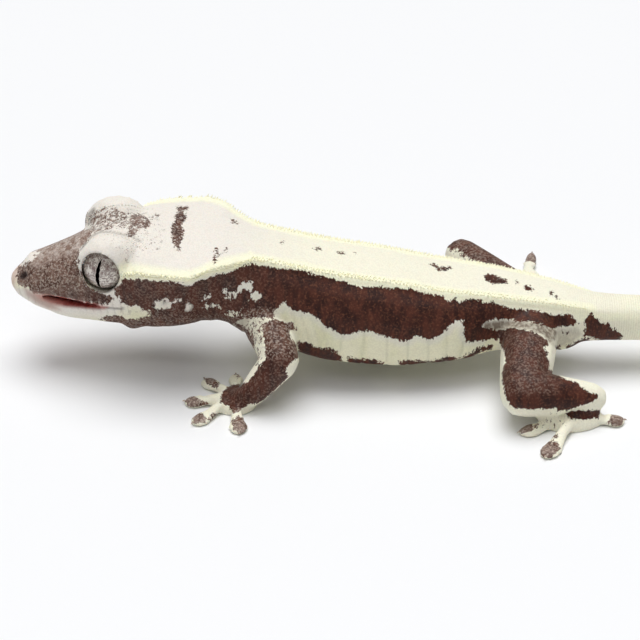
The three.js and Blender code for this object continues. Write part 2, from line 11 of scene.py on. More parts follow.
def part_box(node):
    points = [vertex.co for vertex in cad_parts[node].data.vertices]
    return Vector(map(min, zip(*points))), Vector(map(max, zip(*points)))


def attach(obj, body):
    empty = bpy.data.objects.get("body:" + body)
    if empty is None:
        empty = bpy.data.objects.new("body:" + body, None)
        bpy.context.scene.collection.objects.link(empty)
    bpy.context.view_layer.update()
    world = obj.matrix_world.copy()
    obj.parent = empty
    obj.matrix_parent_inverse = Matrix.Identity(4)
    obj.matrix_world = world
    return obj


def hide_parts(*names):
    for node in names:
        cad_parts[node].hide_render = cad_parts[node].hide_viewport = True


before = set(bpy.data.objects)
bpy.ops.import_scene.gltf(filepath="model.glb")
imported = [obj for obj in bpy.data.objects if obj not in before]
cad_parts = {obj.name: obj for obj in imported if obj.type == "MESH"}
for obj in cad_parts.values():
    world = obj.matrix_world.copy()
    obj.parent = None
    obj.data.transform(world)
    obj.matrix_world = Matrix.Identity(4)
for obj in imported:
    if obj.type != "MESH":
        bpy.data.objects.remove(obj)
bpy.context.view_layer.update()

# Sizes are in millimetres, in the animal's own frame: the snout points to -X, its left side faces -Y, and the
# floor is at z = 0
HEAD_ORIGIN = (-39.8, 1.4, 23.4)
HEAD_NOSE_DOWN = math.radians(10)
HEAD_TURNED_AWAY = math.radians(4)
HEAD_ROLL = math.radians(6)

# The eye in the head's frame, and the opening of its lids
EYE_X, EYE_Y, EYE_Z = 1.9, 5.5, -0.4
EYE_RADIUS = 4.2
EYE_LEAN, EYE_AHEAD, EYE_LIFT = 0.24, 0.1, 0.25
OPENING_WIDE, OPENING_ABOVE, OPENING_BELOW = 3.3, 3.75, 4.05
LID_WIDE, LID_TALL = 3.2, 3.75
EAR, EAR_RADIUS, EAR_DEPTH = (12.2, 10.6, -6.0), 1.1, 0.5

# The line where the lips meet, in the head's frame: its height at the snout and at the corner of the mouth,
# how far back that corner is, and how far the lower lip is let down
MOUTH_FRONT, MOUTH_BACK, MOUTH_CORNER = -5.2, -7.0, 3.9
LIP_DROP = 0.11

# How deep the finer forms of the skin go
LID_FOLD_DEPTH, NOSTRIL_DEPTH, CREST_HEIGHT = 0.22, 0.5, 0.22
PAD_GROWTH = 0.34

# The skin: the voxels of its mesh, and how far it is swelled before them and drawn in after them, in metres
VOXEL = 0.000412
SWELL, DRAW_IN = 0.00026, 0.0002

# The spine behind the head as [distance behind the eyes, x, y, z]
SPINE = [
    (-15, -54.54, 2.45, 20.8), (-3, -42.75, 1.61, 22.88), (9, -30.96, 0.75, 24.97), (15, -25.06, 0.59, 25.95),
    (21, -19.08, 0.49, 26.14), (27, -13.2, 0.22, 25.0), (33, -7.44, 0.07, 23.33), (39, -1.74, 0.01, 21.46),
    (45, 3.97, 0, 19.62), (57, 15.43, 0, 16.08), (69, 27.09, 0, 13.22), (81, 38.87, 0, 10.97),
    (93, 50.81, 0, 9.85), (105, 62.8, 0.2, 9.42), (117, 74.65, 1.44, 8.08), (129, 86.33, 3.17, 5.94),
    (141, 98.04, 4.55, 3.78), (153, 109.95, 4.62, 2.44), (165, 121.69, 2.39, 1.76), (183, 137, -6.2, 1.1),
]

# The crest's two lines, from behind the eyes over the corners of the crown to the rump
CREST_LEFT = [
    (-34.92, -8.58, 23.44), (-32.76, -10.03, 24.24), (-30.32, -11.09, 24.58), (-26.97, -11.75, 24.49),
    (-23.34, -12.14, 24.37), (-22.58, -12.4, 24.55), (-20.36, -11.85, 25.61), (-17.72, -10.18, 25.57),
    (-15.02, -8.3, 25.32), (-12.37, -6.73, 25.09), (-9.82, -6.48, 24.67), (-4.8, -6.67, 23.56),
    (5.13, -6.7, 21.57), (14.95, -6.56, 19.84), (24.62, -6.32, 18.04), (34.33, -5.58, 16.49),
    (43.78, -4.33, 14.47), (48.47, -3.58, 13.23),
]
CREST_RIGHT = [
    (-33.91, 10.59, 25.43), (-31.35, 11.59, 26.48), (-28.87, 12.24, 27.0), (-27.13, 12.72, 27.02),
    (-25.7, 13.48, 26.87), (-21.52, 13.85, 26.8), (-18.77, 12.84, 27.34), (-16.4, 10.92, 26.66),
    (-14.18, 8.82, 25.9), (-11.84, 7.06, 25.35), (-9.47, 6.68, 24.76), (-4.67, 6.73, 23.56),
    (5.13, 6.68, 21.57), (14.94, 6.56, 19.84), (24.62, 6.32, 18.04), (34.33, 5.58, 16.49),
    (43.79, 4.33, 14.47), (48.51, 3.53, 13.23),
]
CREST_STEP = 0.62

# Each foot: the middle of its sole and the tips of its toes
FAR_TOE = (41.6, 40.8)
FEET = {
    "fore_left": (
        (-15.2, -14.9), [(-14.2, -25.2), (-22.5, -22.0), (-24.3, -14.6), (-21.0, -6.8), (-15.3, -5.2)]
    ),
    "fore_right": ((-9.4, 20.8), [(-3.8, 28.2), (-10.8, 30.4), (-17.4, 26.6), (-18.6, 18.8), (-14.4, 13.6)]),
    "hind_left": ((45.0, -21.4), [(53.9, -20.9), (38.9, -33.0), (34.9, -25.0), (38.2, -19.0), (43.0, -13.6)]),
    "hind_right": ((39.6, 28.2), [(47.4, 24.4), FAR_TOE, (33.2, 35.4), (31.0, 28.8), (35.0, 21.6)]),
}

# The head's axes: towards the tail, towards the animal's right, and up
head_back = Vector(
    (
        math.cos(HEAD_NOSE_DOWN) * math.cos(HEAD_TURNED_AWAY),
        -math.sin(HEAD_TURNED_AWAY),
        math.sin(HEAD_NOSE_DOWN),
    )
).normalized()
level = Vector((0, 0, 1)).cross(head_back).normalized()
upright = head_back.cross(level)
head_right = level * math.cos(HEAD_ROLL) + upright * math.sin(HEAD_ROLL)
head_up = upright * math.cos(HEAD_ROLL) - level * math.sin(HEAD_ROLL)


def head_point(x, y, z):
    return Vector(HEAD_ORIGIN) + head_back * x + head_right * y + head_up * z


# Where the animal's frame lies in the model, from the left eye
low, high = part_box("eye_left")
SHIFT = head_point(EYE_X, -EYE_Y, EYE_Z) - (low + high) * 500.0


def place(point):
    """A point of the animal's frame, in the model's metres."""
    return (Vector(point) - SHIFT) / 1000.0


def in_millimetres(points):
    """Points of the model, in the animal's frame."""
    return np.array(points) * 1000 + np.array(SHIFT)


def only(piece):
    """Selects one piece and nothing else."""
    for other in bpy.context.selected_objects:
        other.select_set(False)
    piece.select_set(True)
    bpy.context.view_layer.objects.active = piece


def finish_with(piece, kind, **values):
    """Adds a modifier and applies it."""
    only(piece)
    modifier = piece.modifiers.new(kind.lower(), kind)
    for key, value in values.items():
        setattr(modifier, key, value)
    bpy.ops.object.modifier_apply(modifier=modifier.name)


def settle(piece):
    """Puts the piece's place into its mesh."""
    only(piece)
    bpy.ops.object.transform_apply(location=True, rotation=True, scale=True)


def edit_whole(piece):
    """Opens a piece for editing, with all of it selected."""
    only(piece)
    bpy.ops.object.mode_set(mode="EDIT")
    bpy.ops.mesh.select_all(action="SELECT")


def read_vectors(mesh, name):
    found = np.empty(len(mesh.vertices) * 3)
    mesh.vertices.foreach_get(name, found)
    return found.reshape(-1, 3)


def coordinates(mesh):
    return read_vectors(mesh, "co")


def normals(mesh):
    return read_vectors(mesh, "normal")


def put(mesh, spots):
    """Moves a mesh to points of the animal's frame."""
    placed = (spots - np.array(SHIFT)) / 1000.0
    mesh.vertices.foreach_set("co", placed.ravel())
    mesh.update()


def keep(mesh, name, values):
    """Stores one number for each vertex, for the material to read."""
    layer = mesh.attributes.new(name, "FLOAT", "POINT")
    layer.data.foreach_set("value", np.asarray(values, np.float32))


def weigh(piece, name, amounts):
    """Stores one weight for each vertex, for a modifier to read."""
    group = piece.vertex_groups.new(name=name)
    for index, amount in enumerate(amounts):
        group.add([index], float(amount), "REPLACE")


def ease(value, start, end):
    """Rises smoothly from 0 at the start to 1 at the end."""
    share = np.clip((value - start) / (end - start), 0, 1)
    return share * share * (3 - 2 * share)


def fade(value, start, end):
    """Falls smoothly from 1 at the start to 0 at the end."""
    return 1 - ease(value, start, end)


def most(*shares):
    """The largest of several shares, at each point."""
    return np.maximum.reduce(shares)


def near_line(where, route):
    """The distance from each point to a broken line."""
    best = np.full(len(where), 1e9)
    route = np.array(route, float)
    for first, last in zip(route[:-1], route[1:]):
        step = last - first
        share = np.clip(((where - first) @ step) / (step @ step), 0, 1)
        best = np.minimum(best, ((where - first - share[:, None] * step) ** 2).sum(1))
    return np.sqrt(best)


# The chart is the animal as the camera sees it, from its left side and 30 degrees above: 5.5 units are one
# millimetre at the animal's middle, x grows towards the tail and y downwards. A point of the left side lies
# where it is seen from there, and the right side is folded over onto the left.
VIEW_TILT = math.radians(30)
VIEW_DISTANCE = 500.0
VIEW_HEIGHT = 9.0
VIEW_SCALE = 5.5 * VIEW_DISTANCE
CHART_WIDTH = 640


def chart(spots):
    y, lift = spots[:, 1], spots[:, 2] - VIEW_HEIGHT
    depth = VIEW_DISTANCE + math.cos(VIEW_TILT) * y - math.sin(VIEW_TILT) * lift
    across = VIEW_SCALE * spots[:, 0] / depth
    down = -VIEW_SCALE * (math.sin(VIEW_TILT) * y + math.cos(VIEW_TILT) * lift) / depth
    return CHART_WIDTH / 2 + np.stack([across, down], 1)


def left_chart(spots):
    """The chart with the right side mirrored over onto the left."""
    return chart(np.where(spots[:, 1:2] > 0, spots * np.array((1, -1, 1)), spots))


def in_head(spots):
    """Towards the tail, to the right and up, in the head's frame."""
    away = spots - np.array(HEAD_ORIGIN)
    return away @ np.array(head_back), away @ np.array(head_right), away @ np.array(head_up)


def lip_height(along):
    return MOUTH_FRONT + (MOUTH_BACK - MOUTH_FRONT) * ease(along, -11, MOUTH_CORNER)


def eye_axes(side):
    """The eye's middle, the way it looks, and its level and upright axes."""
    middle = place(head_point(EYE_X, side * EYE_Y, EYE_Z))
    look = head_back * -math.sin(EYE_AHEAD) + head_right * side * math.cos(EYE_AHEAD) + head_up * EYE_LIFT
    look.normalize()
    tall = head_up * math.cos(EYE_LEAN) + head_back * math.sin(EYE_LEAN)
    tall = (tall - look * tall.dot(look)).normalized()
    ahead = tall.cross(look) * side
    return middle, look, ahead.normalized(), tall


def in_eye(spots, side):
    """Ahead, up and out from the eye's middle, and the share of the lids' opening: 1 at their edge."""
    middle, look, ahead, tall = eye_axes(side)
    away = spots - in_millimetres(middle)
    onward, rise, out = (away @ np.array(axis) for axis in (ahead, tall, look))
    share = np.hypot(onward / OPENING_WIDE, rise / np.where(rise > 0, OPENING_ABOVE, OPENING_BELOW))
    return onward, rise, out, share


# Skin: one seamless surface over all the flesh
FLESH = [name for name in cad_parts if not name.startswith("eye_") and name != "tongue"]
REGIONS = {
    "head": ["head", "lower_jaw"],
    "trunk": ["neck", "chest", "pelvis"],
    "tail": [f"tail_{number}" for number in (1, 2, 3, 4)],
}
for limb in FEET:
    bones = ("upper_arm", "forearm", "hand") if limb.startswith("fore") else ("thigh", "shank", "foot")
    REGIONS[limb] = [f"{limb}_{bone}" for bone in bones]

# The fold over the eye and the slit of the nostril, on the chart
LID_FOLD = [(80, 250), (87, 242), (92, 236), (100, 232), (110, 232), (120, 234), (131, 236), (140, 242)]
NOSTRIL = [(22.4, 276.8), (24.4, 274.6)]
# Folds of the skin down the pale part of the flank, each with its depth
FOLDS = [
    ([(283, 312), (286, 322), (289, 330)], 0.07), ([(292, 313), (296, 326), (300, 337)], 0.07),
    ([(301, 315), (306, 330), (310, 343)], 0.08), ([(311, 319), (316, 334), (320, 347)], 0.08),
    ([(322, 327), (326, 340), (329, 350)], 0.08), ([(343, 333), (341, 345), (338, 357)], 0.12),
    ([(365, 332), (363, 345), (362, 359)], 0.12), ([(387, 337), (386, 349), (387, 361)], 0.12),
    ([(408, 342), (408, 352), (407, 361)], 0.12), ([(428, 340), (429, 350), (428, 360)], 0.1),
    ([(447, 333), (447, 345), (446, 357)], 0.08), ([(464, 342), (462, 350), (460, 357)], 0.12),
]
DEEPEST_FOLD = max(depth for _, depth in FOLDS)
# How much fuller the underside hangs, from the chin to the vent: [chart x, millimetres]
FULLNESS = [
    (50, 0), (56, 0.25), (70, 0.27), (80, 0.13), (90, 0), (120, 0), (125, 0.29), (131, 0.5), (140, 0.63),
    (146, 0.4), (160, 0.44), (190, 0.38), (200, 0.46), (206, 0.88), (211, 0.97), (218, 0.5), (228, 0.17),
    (236, 0.55), (242, 0.84), (247, 0.52), (251, 0), (290, 0.1), (310, 0.23), (320, 0.38), (340, 0.63),
    (360, 0.82), (380, 0.97), (400, 1.2), (420, 1.2), (440, 1.3), (460, 1.34), (470, 1.1), (480, 0.63),
    (490, 0.21), (500, 0), (545, 0), (555, 0.67), (560, 0.97), (568, 0.92), (574, 0.63), (580, 0.13),
    (584, 0),
]


def sink(spots, depth, outward):
    """Moves points of the skin inwards, each by its own depth."""
    spots -= depth[:, None] * outward


def open_jaw(jaw):
    """Lets the edge of the lower lip down a little, so that the mouth stays open."""
    spots = in_millimetres(coordinates(jaw.data))
    back, side, rise = in_head(spots)
    drop = LIP_DROP * fade(lip_height(back) - rise, 0.6, 3.0) * fade(back, 1.0, 3.6)
    put(jaw.data, spots - drop[:, None] * np.array(head_up))


def open_lids(spots, side):
    """Draws the lids back to their oval edge, which stands up a little."""
    _, _, ahead, tall = eye_axes(side)
    onward, rise, out, share = in_eye(spots, side)
    wanted = np.where(share < 1, 1 + 0.12 * (share - 1), share) + 0.05 * fade(share, 1.0, 1.4)
    grown = np.where((out > 1.3) & (share < 1.4), wanted / np.maximum(share, 1e-3), 1.0) - 1
    spots += (grown * onward)[:, None] * np.array(ahead) + (grown * rise)[:, None] * np.array(tall)


def fill_underside(spots, outward, where, back, rise):
    """A fuller chin, throat, belly and vent."""
    fuller = np.interp(where[:, 0], *zip(*FULLNESS)) * ease(-outward[:, 2], -0.05, 0.75)
    top = np.interp(spots[:, 0], [point[1] for point in SPINE], [point[3] for point in SPINE])
    fuller *= ease(top - spots[:, 2], 1.5, 4.0) * (np.abs(spots[:, 1]) < 12.5) * (spots[:, 2] > 4.2)
    fuller *= (back > MOUTH_CORNER + 1) | (rise < lip_height(back) - 1.2)
    spots[:, 2] -= fuller


def shape_toe_pads(spots):
    """Toe pads that are fuller than the shafts behind them."""
    for sole, toes in FEET.values():
        for tip in toes:
            way = np.array(tip) - np.array(sole)
            way /= np.linalg.norm(way)
            across = np.array((-way[1], way[0]))
            flat = spots[:, :2] - (np.array(tip) - 1.5 * way)
            along_toe, side_toe = flat @ way, flat @ across
            pad = fade(np.abs(along_toe - 0.1), 1.2, 2.3) * fade(np.abs(side_toe), 2.2, 2.8)
            pad *= spots[:, 2] < 3.2
            spots[:, 2] += pad * PAD_GROWTH * np.maximum(spots[:, 2] - 0.15, 0)
            if tip == FAR_TOE:
                slim = fade(np.abs(along_toe), 2.0, 3.4) * fade(np.abs(side_toe), 2.4, 3.0)
                spots[:, :2] -= (0.4 * slim * side_toe)[:, None] * across


def sculpt(skin):
    """Lids, ears, nostrils, folds, underside, crest edge and toe pads, moved in the skin itself."""
    mesh = skin.data
    spots = in_millimetres(coordinates(mesh))
    outward = normals(mesh)
    back, side, rise = in_head(spots)
    for hand in (-1, 1):
        open_lids(spots, hand)
        gap = np.sqrt((back - EAR[0]) ** 2 + (side - hand * EAR[1]) ** 2 + (rise - EAR[2]) ** 2)
        sink(spots, EAR_DEPTH * fade(gap, 0.15, EAR_RADIUS), outward)
    # The fold over each eye, the nostrils and the folds of the flank
    folded = chart(spots - 2 * np.maximum(side, 0)[:, None] * np.array(head_right))
    sink(spots, LID_FOLD_DEPTH * fade(near_line(folded, LID_FOLD), 0.5, 4.0) * (back < 10), outward)
    hole = fade(near_line(folded, NOSTRIL), 0.6, 3.2)
    sink(spots, NOSTRIL_DEPTH * hole * (back < -10) * (np.abs(side) > 0.8), outward)
    where = left_chart(spots)
    low_side = (back > 18) * (spots[:, 2] > 5)
    for route, depth in FOLDS:
        sink(spots, depth * fade(near_line(where, route), 0.4, 3.0) * low_side, outward)
    fill_underside(spots, outward, where, back, rise)
    # The crest's edge stands up a little
    for route in (CREST_LEFT, CREST_RIGHT):
        sink(spots, -CREST_HEIGHT * fade(near_line(spots, route), 0.2, 1.3), outward)
    shape_toe_pads(spots)
    spots[:, 2] = np.maximum(spots[:, 2], SHIFT[2])
    put(mesh, spots)


def copy_flesh():
    """Copies of the flesh nodes, and a search tree for each region of the body."""
    copies, trees = [], {}
    for region, names in REGIONS.items():
        corners, faces = [], []
        for name in names:
            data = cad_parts[name].data.copy()
            piece = bpy.data.objects.new(name + "_flesh", data)
            bpy.context.scene.collection.objects.link(piece)
            edit_whole(piece)
            bpy.ops.mesh.remove_doubles(threshold=2e-6)
            bpy.ops.object.mode_set(mode="OBJECT")
            start = len(corners)
            corners += [v.co.copy() for v in data.vertices]
            faces += [[start + i for i in f.vertices] for f in data.polygons]
            copies.append(piece)
        trees[region] = BVHTree.FromPolygons(corners, faces)
    return copies, trees


def behind_mouth(along):
    return ease(along, MOUTH_CORNER - 5.5, MOUTH_CORNER + 0.5)


def make_skin():
    copies, trees = copy_flesh()
    open_jaw(next(piece for piece in copies if piece.name.startswith("lower_jaw")))
    only(copies[0])
    for piece in copies:
        piece.select_set(True)
    bpy.ops.object.join()
    skin = copies[0]
    skin.name = "skin"
    skin.data.materials.clear()
    # The lips stay apart: mostly what lies behind the corner of the mouth is swelled to close the gaps
    along = in_head(in_millimetres(coordinates(skin.data)))[0]
    weigh(skin, "closing", 0.12 + 0.88 * behind_mouth(along))
    finish_with(skin, "DISPLACE", strength=SWELL, mid_level=0, vertex_group="closing")
    finish_with(skin, "REMESH", mode="VOXEL", voxel_size=VOXEL, adaptivity=0)
    finish_with(skin, "SMOOTH", factor=0.5, iterations=2)
    # Toes, lids and lips are smoothed less than the rest
    spots = in_millimetres(coordinates(skin.data))
    along, side, rise = in_head(spots)
    smooth = 1 - 0.85 * fade(spots[:, 2], 2.2, 4.2) * (np.abs(spots[:, 1]) > 4.0) * (spots[:, 0] < 60)
    lid = np.sqrt((along - EYE_X) ** 2 + ((np.abs(side) - EYE_Y - 2) * 0.8) ** 2 + (rise - EYE_Z) ** 2)
    smooth *= 1 - 0.85 * fade(lid, 4.2, 6.0)
    smooth *= 1 - 0.8 * fade(np.abs(rise - lip_height(along)), 0.8, 1.8) * (along < MOUTH_CORNER + 1)
    weigh(skin, "smoothing", smooth)
    finish_with(skin, "SMOOTH", factor=0.6, iterations=6, vertex_group="smoothing")
    weigh(skin, "closed", 0.3 + 0.7 * behind_mouth(along))
    finish_with(skin, "DISPLACE", strength=-DRAW_IN, mid_level=0, vertex_group="closed")
    sculpt(skin)
    only(skin)
    bpy.ops.object.shade_smooth()
    return skin, trees


skin, region_trees = make_skin()


class Finish:
    """A material, with what wires its nodes."""

    def __init__(self, name):
        self.material = bpy.data.materials.new(name)
        self.material.use_nodes = True
        self.nodes = self.material.node_tree.nodes
        self.links = self.material.node_tree.links
        self.shader = self.nodes["Principled BSDF"]

    def wire(self, value, socket):
        """Joins an output to a socket, or sets a plain value on it."""
        if hasattr(value, "is_linked"):
            self.links.new(value, socket)
        else:
            socket.default_value = value

    def blend(self, amount, first, second):
        mix = self.nodes.new("ShaderNodeMix")
        mix.data_type = "RGBA"
        for index, value in ((0, amount), (6, first), (7, second)):
            self.wire(value, mix.inputs[index])
        return mix.outputs[2]

    def layered(self, colour, *layers):
        """Lays colours over a first one, each as [amount, colour]."""
        for amount, above in layers:
            colour = self.blend(amount, colour, above)
        return colour

    def sums(self, operation, *values):
        node = self.nodes.new("ShaderNodeMath")
        node.operation = operation
        for value, socket in zip(values, node.inputs):
            self.wire(value, socket)
        return node.outputs[0]

    def stored(self, name):
        node = self.nodes.new("ShaderNodeAttribute")
        node.attribute_name = name
        return node.outputs["Fac"]

    def here(self, size=(1, 1, 1)):
        """The object's own place, stretched by size."""
        own = self.nodes.new("ShaderNodeTexCoord")
        stretch = self.nodes.new("ShaderNodeMapping")
        stretch.inputs["Scale"].default_value = size
        self.links.new(own.outputs["Object"], stretch.inputs["Vector"])
        return stretch.outputs["Vector"]

    def cloud(self, scale, size=(1, 1, 1), detail=3.0, roughness=0.6):
        """Cloudy noise, `scale` grains to the metre."""
        noise = self.nodes.new("ShaderNodeTexNoise")
        values = {"Scale": scale, "Detail": detail, "Roughness": roughness, "Vector": self.here(size)}
        for name, value in values.items():
            self.wire(value, noise.inputs[name])
        return noise.outputs["Fac"]

    def cells(self, scale):
        """The distance to the nearest of many scattered points, `scale` points to the metre."""
        cells = self.nodes.new("ShaderNodeTexVoronoi")
        cells.inputs["Scale"].default_value = scale
        self.links.new(self.here(), cells.inputs["Vector"])
        return cells.outputs["Distance"]

    def ramp(self, value, low, high, start=0.0, end=1.0):
        node = self.nodes.new("ShaderNodeMapRange")
        node.interpolation_type = "SMOOTHSTEP"
        values = {"Value": value, "From Min": low, "From Max": high, "To Min": start, "To Max": end}
        for name, number in values.items():
            self.wire(number, node.inputs[name])
        return node.outputs["Result"]

    def bump(self, height, strength, distance):
        bump = self.nodes.new("ShaderNodeBump")
        bump.inputs["Strength"].default_value = strength
        bump.inputs["Distance"].default_value = distance
        self.links.new(height, bump.inputs["Height"])
        self.links.new(bump.outputs["Normal"], self.shader.inputs["Normal"])


# Floor, camera and light
FLOOR_METRES = 24
bpy.ops.object.select_all(action="DESELECT")
bpy.ops.mesh.primitive_plane_add(size=FLOOR_METRES, location=(0, 0, 0))
floor = bpy.context.active_object
floor.name = "floor"
settle(floor)
paper = Finish("pale_floor")
paper.shader.inputs["Base Color"].default_value = (0.905, 0.91, 0.922, 1)
paper.shader.inputs["Roughness"].default_value = 0.6
floor.data.materials.append(paper.material)

camera_data = bpy.data.cameras.new("camera")
camera_data.sensor_width = 36
camera_data.lens = camera_data.sensor_width * VIEW_SCALE / CHART_WIDTH
camera = bpy.data.objects.new("camera", camera_data)
bpy.context.scene.collection.objects.link(camera)
back_off, climb = VIEW_DISTANCE * math.cos(VIEW_TILT), VIEW_DISTANCE * math.sin(VIEW_TILT)
camera.location = place((0, -back_off, VIEW_HEIGHT + climb))
aim = place((0, 0, VIEW_HEIGHT)) - camera.location
camera.rotation_euler = aim.to_track_quat("-Z", "Y").to_euler()
bpy.context.scene.camera = camera

world = bpy.data.worlds.new("studio")
world.use_nodes = True
world.node_tree.nodes["Background"].inputs["Color"].default_value = (0.97, 0.985, 1, 1)
world.node_tree.nodes["Background"].inputs["Strength"].default_value = 0.18
bpy.context.scene.world = world


def soft_light(name, towards_light, spread_angle, strength):
    """A broad, even light from one side."""
    data = bpy.data.lights.new(name, "SUN")
    data.angle = spread_angle
    data.energy = strength
    item = bpy.data.objects.new(name, data)
    bpy.context.scene.collection.objects.link(item)
    item.location = Vector(towards_light)
    item.rotation_euler = Vector(towards_light).to_track_quat("Z", "Y").to_euler()


soft_light("overhead", (0.0, 0.14, 0.9), 0.84, 2.45)
soft_light("front", (-0.1, -0.5, 0.85), 0.6, 0.52)

bpy.context.scene.view_settings.view_transform = "Standard"

# Markings, drawn on the chart. Each has an outline and a density, and its edges are broken up by noise.
# First the edge between the cream back and the brown side
CREAM_EDGE = [
    (111, 289), (114, 286.5), (119, 282), (125, 279.3), (130, 278.5), (140, 279), (150, 280), (160, 281),
    (170, 281.5), (180, 283), (188, 285.5), (195, 283), (200, 280), (205, 279), (212, 276), (218, 274),
    (226, 274), (232, 271), (240, 267), (245, 265), (250, 262.5), (255, 264), (262, 265.5), (270, 267),
    (280, 268.5), (295, 270), (307, 272), (318, 275.5), (330, 278), (340, 281), (348, 283), (360, 287),
    (370, 287), (382, 286.5), (390, 289), (400, 288), (412, 289), (424, 293), (432, 295), (442, 296),
    (449, 301), (455, 298), (460, 302), (465, 301), (470, 299), (480, 300), (487, 303), (494, 302),
    (500, 305), (510, 308), (530, 310), (540, 311.5), (550, 314), (560, 315), (567, 314), (571, 314),
    (573, 318), (578, 323),
]
# The lower edge of the brown side, over the white band
WHITE_EDGE = [
    (575, 325), (570, 326), (558, 327), (553, 329), (548, 328), (545, 325), (540, 322), (530, 321),
    (520, 320), (500, 319), (490, 320), (485, 322), (481, 329), (481, 340), (466, 341), (464, 335),
    (465, 322), (461, 320), (455, 321), (450, 325), (447, 330), (442, 333), (438, 337), (430, 340),
    (424, 338), (415, 336), (408, 341), (400, 341), (390, 337), (380, 335), (372, 331), (360, 331),
    (352, 334), (345, 335), (338, 334), (332, 329), (326, 327), (320, 321), (315, 317), (310, 313),
    (300, 312), (292, 310), (287, 306), (284, 303), (281, 309), (277, 309), (275, 316), (272, 319),
    (262, 318), (250, 319), (240, 320), (236, 324), (228, 326), (215, 324), (200, 324), (180, 328),
    (150, 334), (120, 330), (104, 321), (100, 318), (103, 314), (112, 316),
]
BROWN = {
    "side": (CREAM_EDGE + WHITE_EDGE, 1.0),
    "hip_strip": ([(462, 318), (483, 318), (483, 328), (500, 330), (508, 330), (508, 341), (490, 339),
        (480, 341), (466, 342)], 1.0),
    "chest_edge": ([(232, 320), (243, 324), (250, 329), (256, 337), (259, 349), (262, 358), (255, 354),
        (246, 342), (238, 330)], 1.0),
    "throat_patch": ([(100, 314), (108, 313), (116, 315), (122, 318), (118, 324), (104, 322),
        (99, 319)], 0.9),
    "under_eye": ([(83, 289), (92, 291), (104, 294), (114, 297), (113, 301), (104, 301.5), (96, 299),
        (86, 295)], 1.0),
    "flank_spot": ([(282, 327), (284, 322), (290, 321), (294, 323), (295, 328), (291, 331), (288, 329),
        (285, 332)], 0.95),
    "flank_dot": ([(295, 327), (298, 328), (297, 332), (294, 331)], 0.8),
    "belly_edge": ([(297, 340), (303, 342), (312, 344.5), (322, 348), (330, 348.5), (336, 352), (342, 357),
        (344, 372), (320, 366), (298, 356)], 0.95),
    "belly_edge_middle": ([(348, 356.5), (356, 358.5), (376, 359), (379, 362), (384, 363), (384, 374),
        (348, 374)], 0.95),
    "belly_edge_rear": ([(399, 361.2), (410, 360.2), (422, 360.2), (432, 360.6), (443, 358.6), (445, 356.3),
        (452, 356.3), (456, 358.6), (462, 358), (462, 372), (399, 376)], 0.9),
    "groin_line": ([(462, 357), (470, 352.6), (476, 348.6), (486, 345.6), (492, 345), (491, 350), (480, 352),
        (472, 358), (464, 361)], 0.9),
    "tail_base": ([(588, 314), (591, 312), (593, 314), (595, 318), (600, 322), (606, 325), (608, 323),
        (609, 327), (614, 329), (619, 332), (622, 336), (620, 341), (600, 341), (592, 337), (583, 336),
        (585, 328), (584, 322), (586, 318)], 1.0),
    "vent_dashes": ([(555, 346), (560, 346), (560, 352), (555, 352)], 0.9),
    "vent_line": ([(566, 345.6), (573, 343), (583, 338.6), (589, 338), (589, 344), (578, 350),
        (567, 354)], 0.95),
    "groin_spot": ([(562, 331), (566, 330), (569, 333), (568, 336), (564, 335)], 0.7),
    "snout": ([(16.8, 280), (17, 271), (21, 266), (28, 262), (36, 258), (48, 254), (60, 250), (70, 247),
        (78, 247), (82, 254), (83, 262), (84, 276), (88, 284), (96, 291), (104, 294), (113, 298), (112, 304),
        (98, 304), (80, 301), (60, 297), (44, 294), (30, 289.5), (20, 285)], 0.97),
    "snout_top": ([(34, 256), (50, 244), (66, 236), (84, 228), (92, 232), (90, 238), (82, 248), (70, 252),
        (56, 255), (38, 262)], 0.9),
    # The strip along the upper lip: brown, which brown_tone darkens further as painted shade under the lip
    "lip": ([(27, 286), (40, 290), (60, 290), (84, 291), (96, 298), (112, 301), (110, 306), (84, 303),
        (60, 298), (44, 295), (30, 291)], 0.92),
}
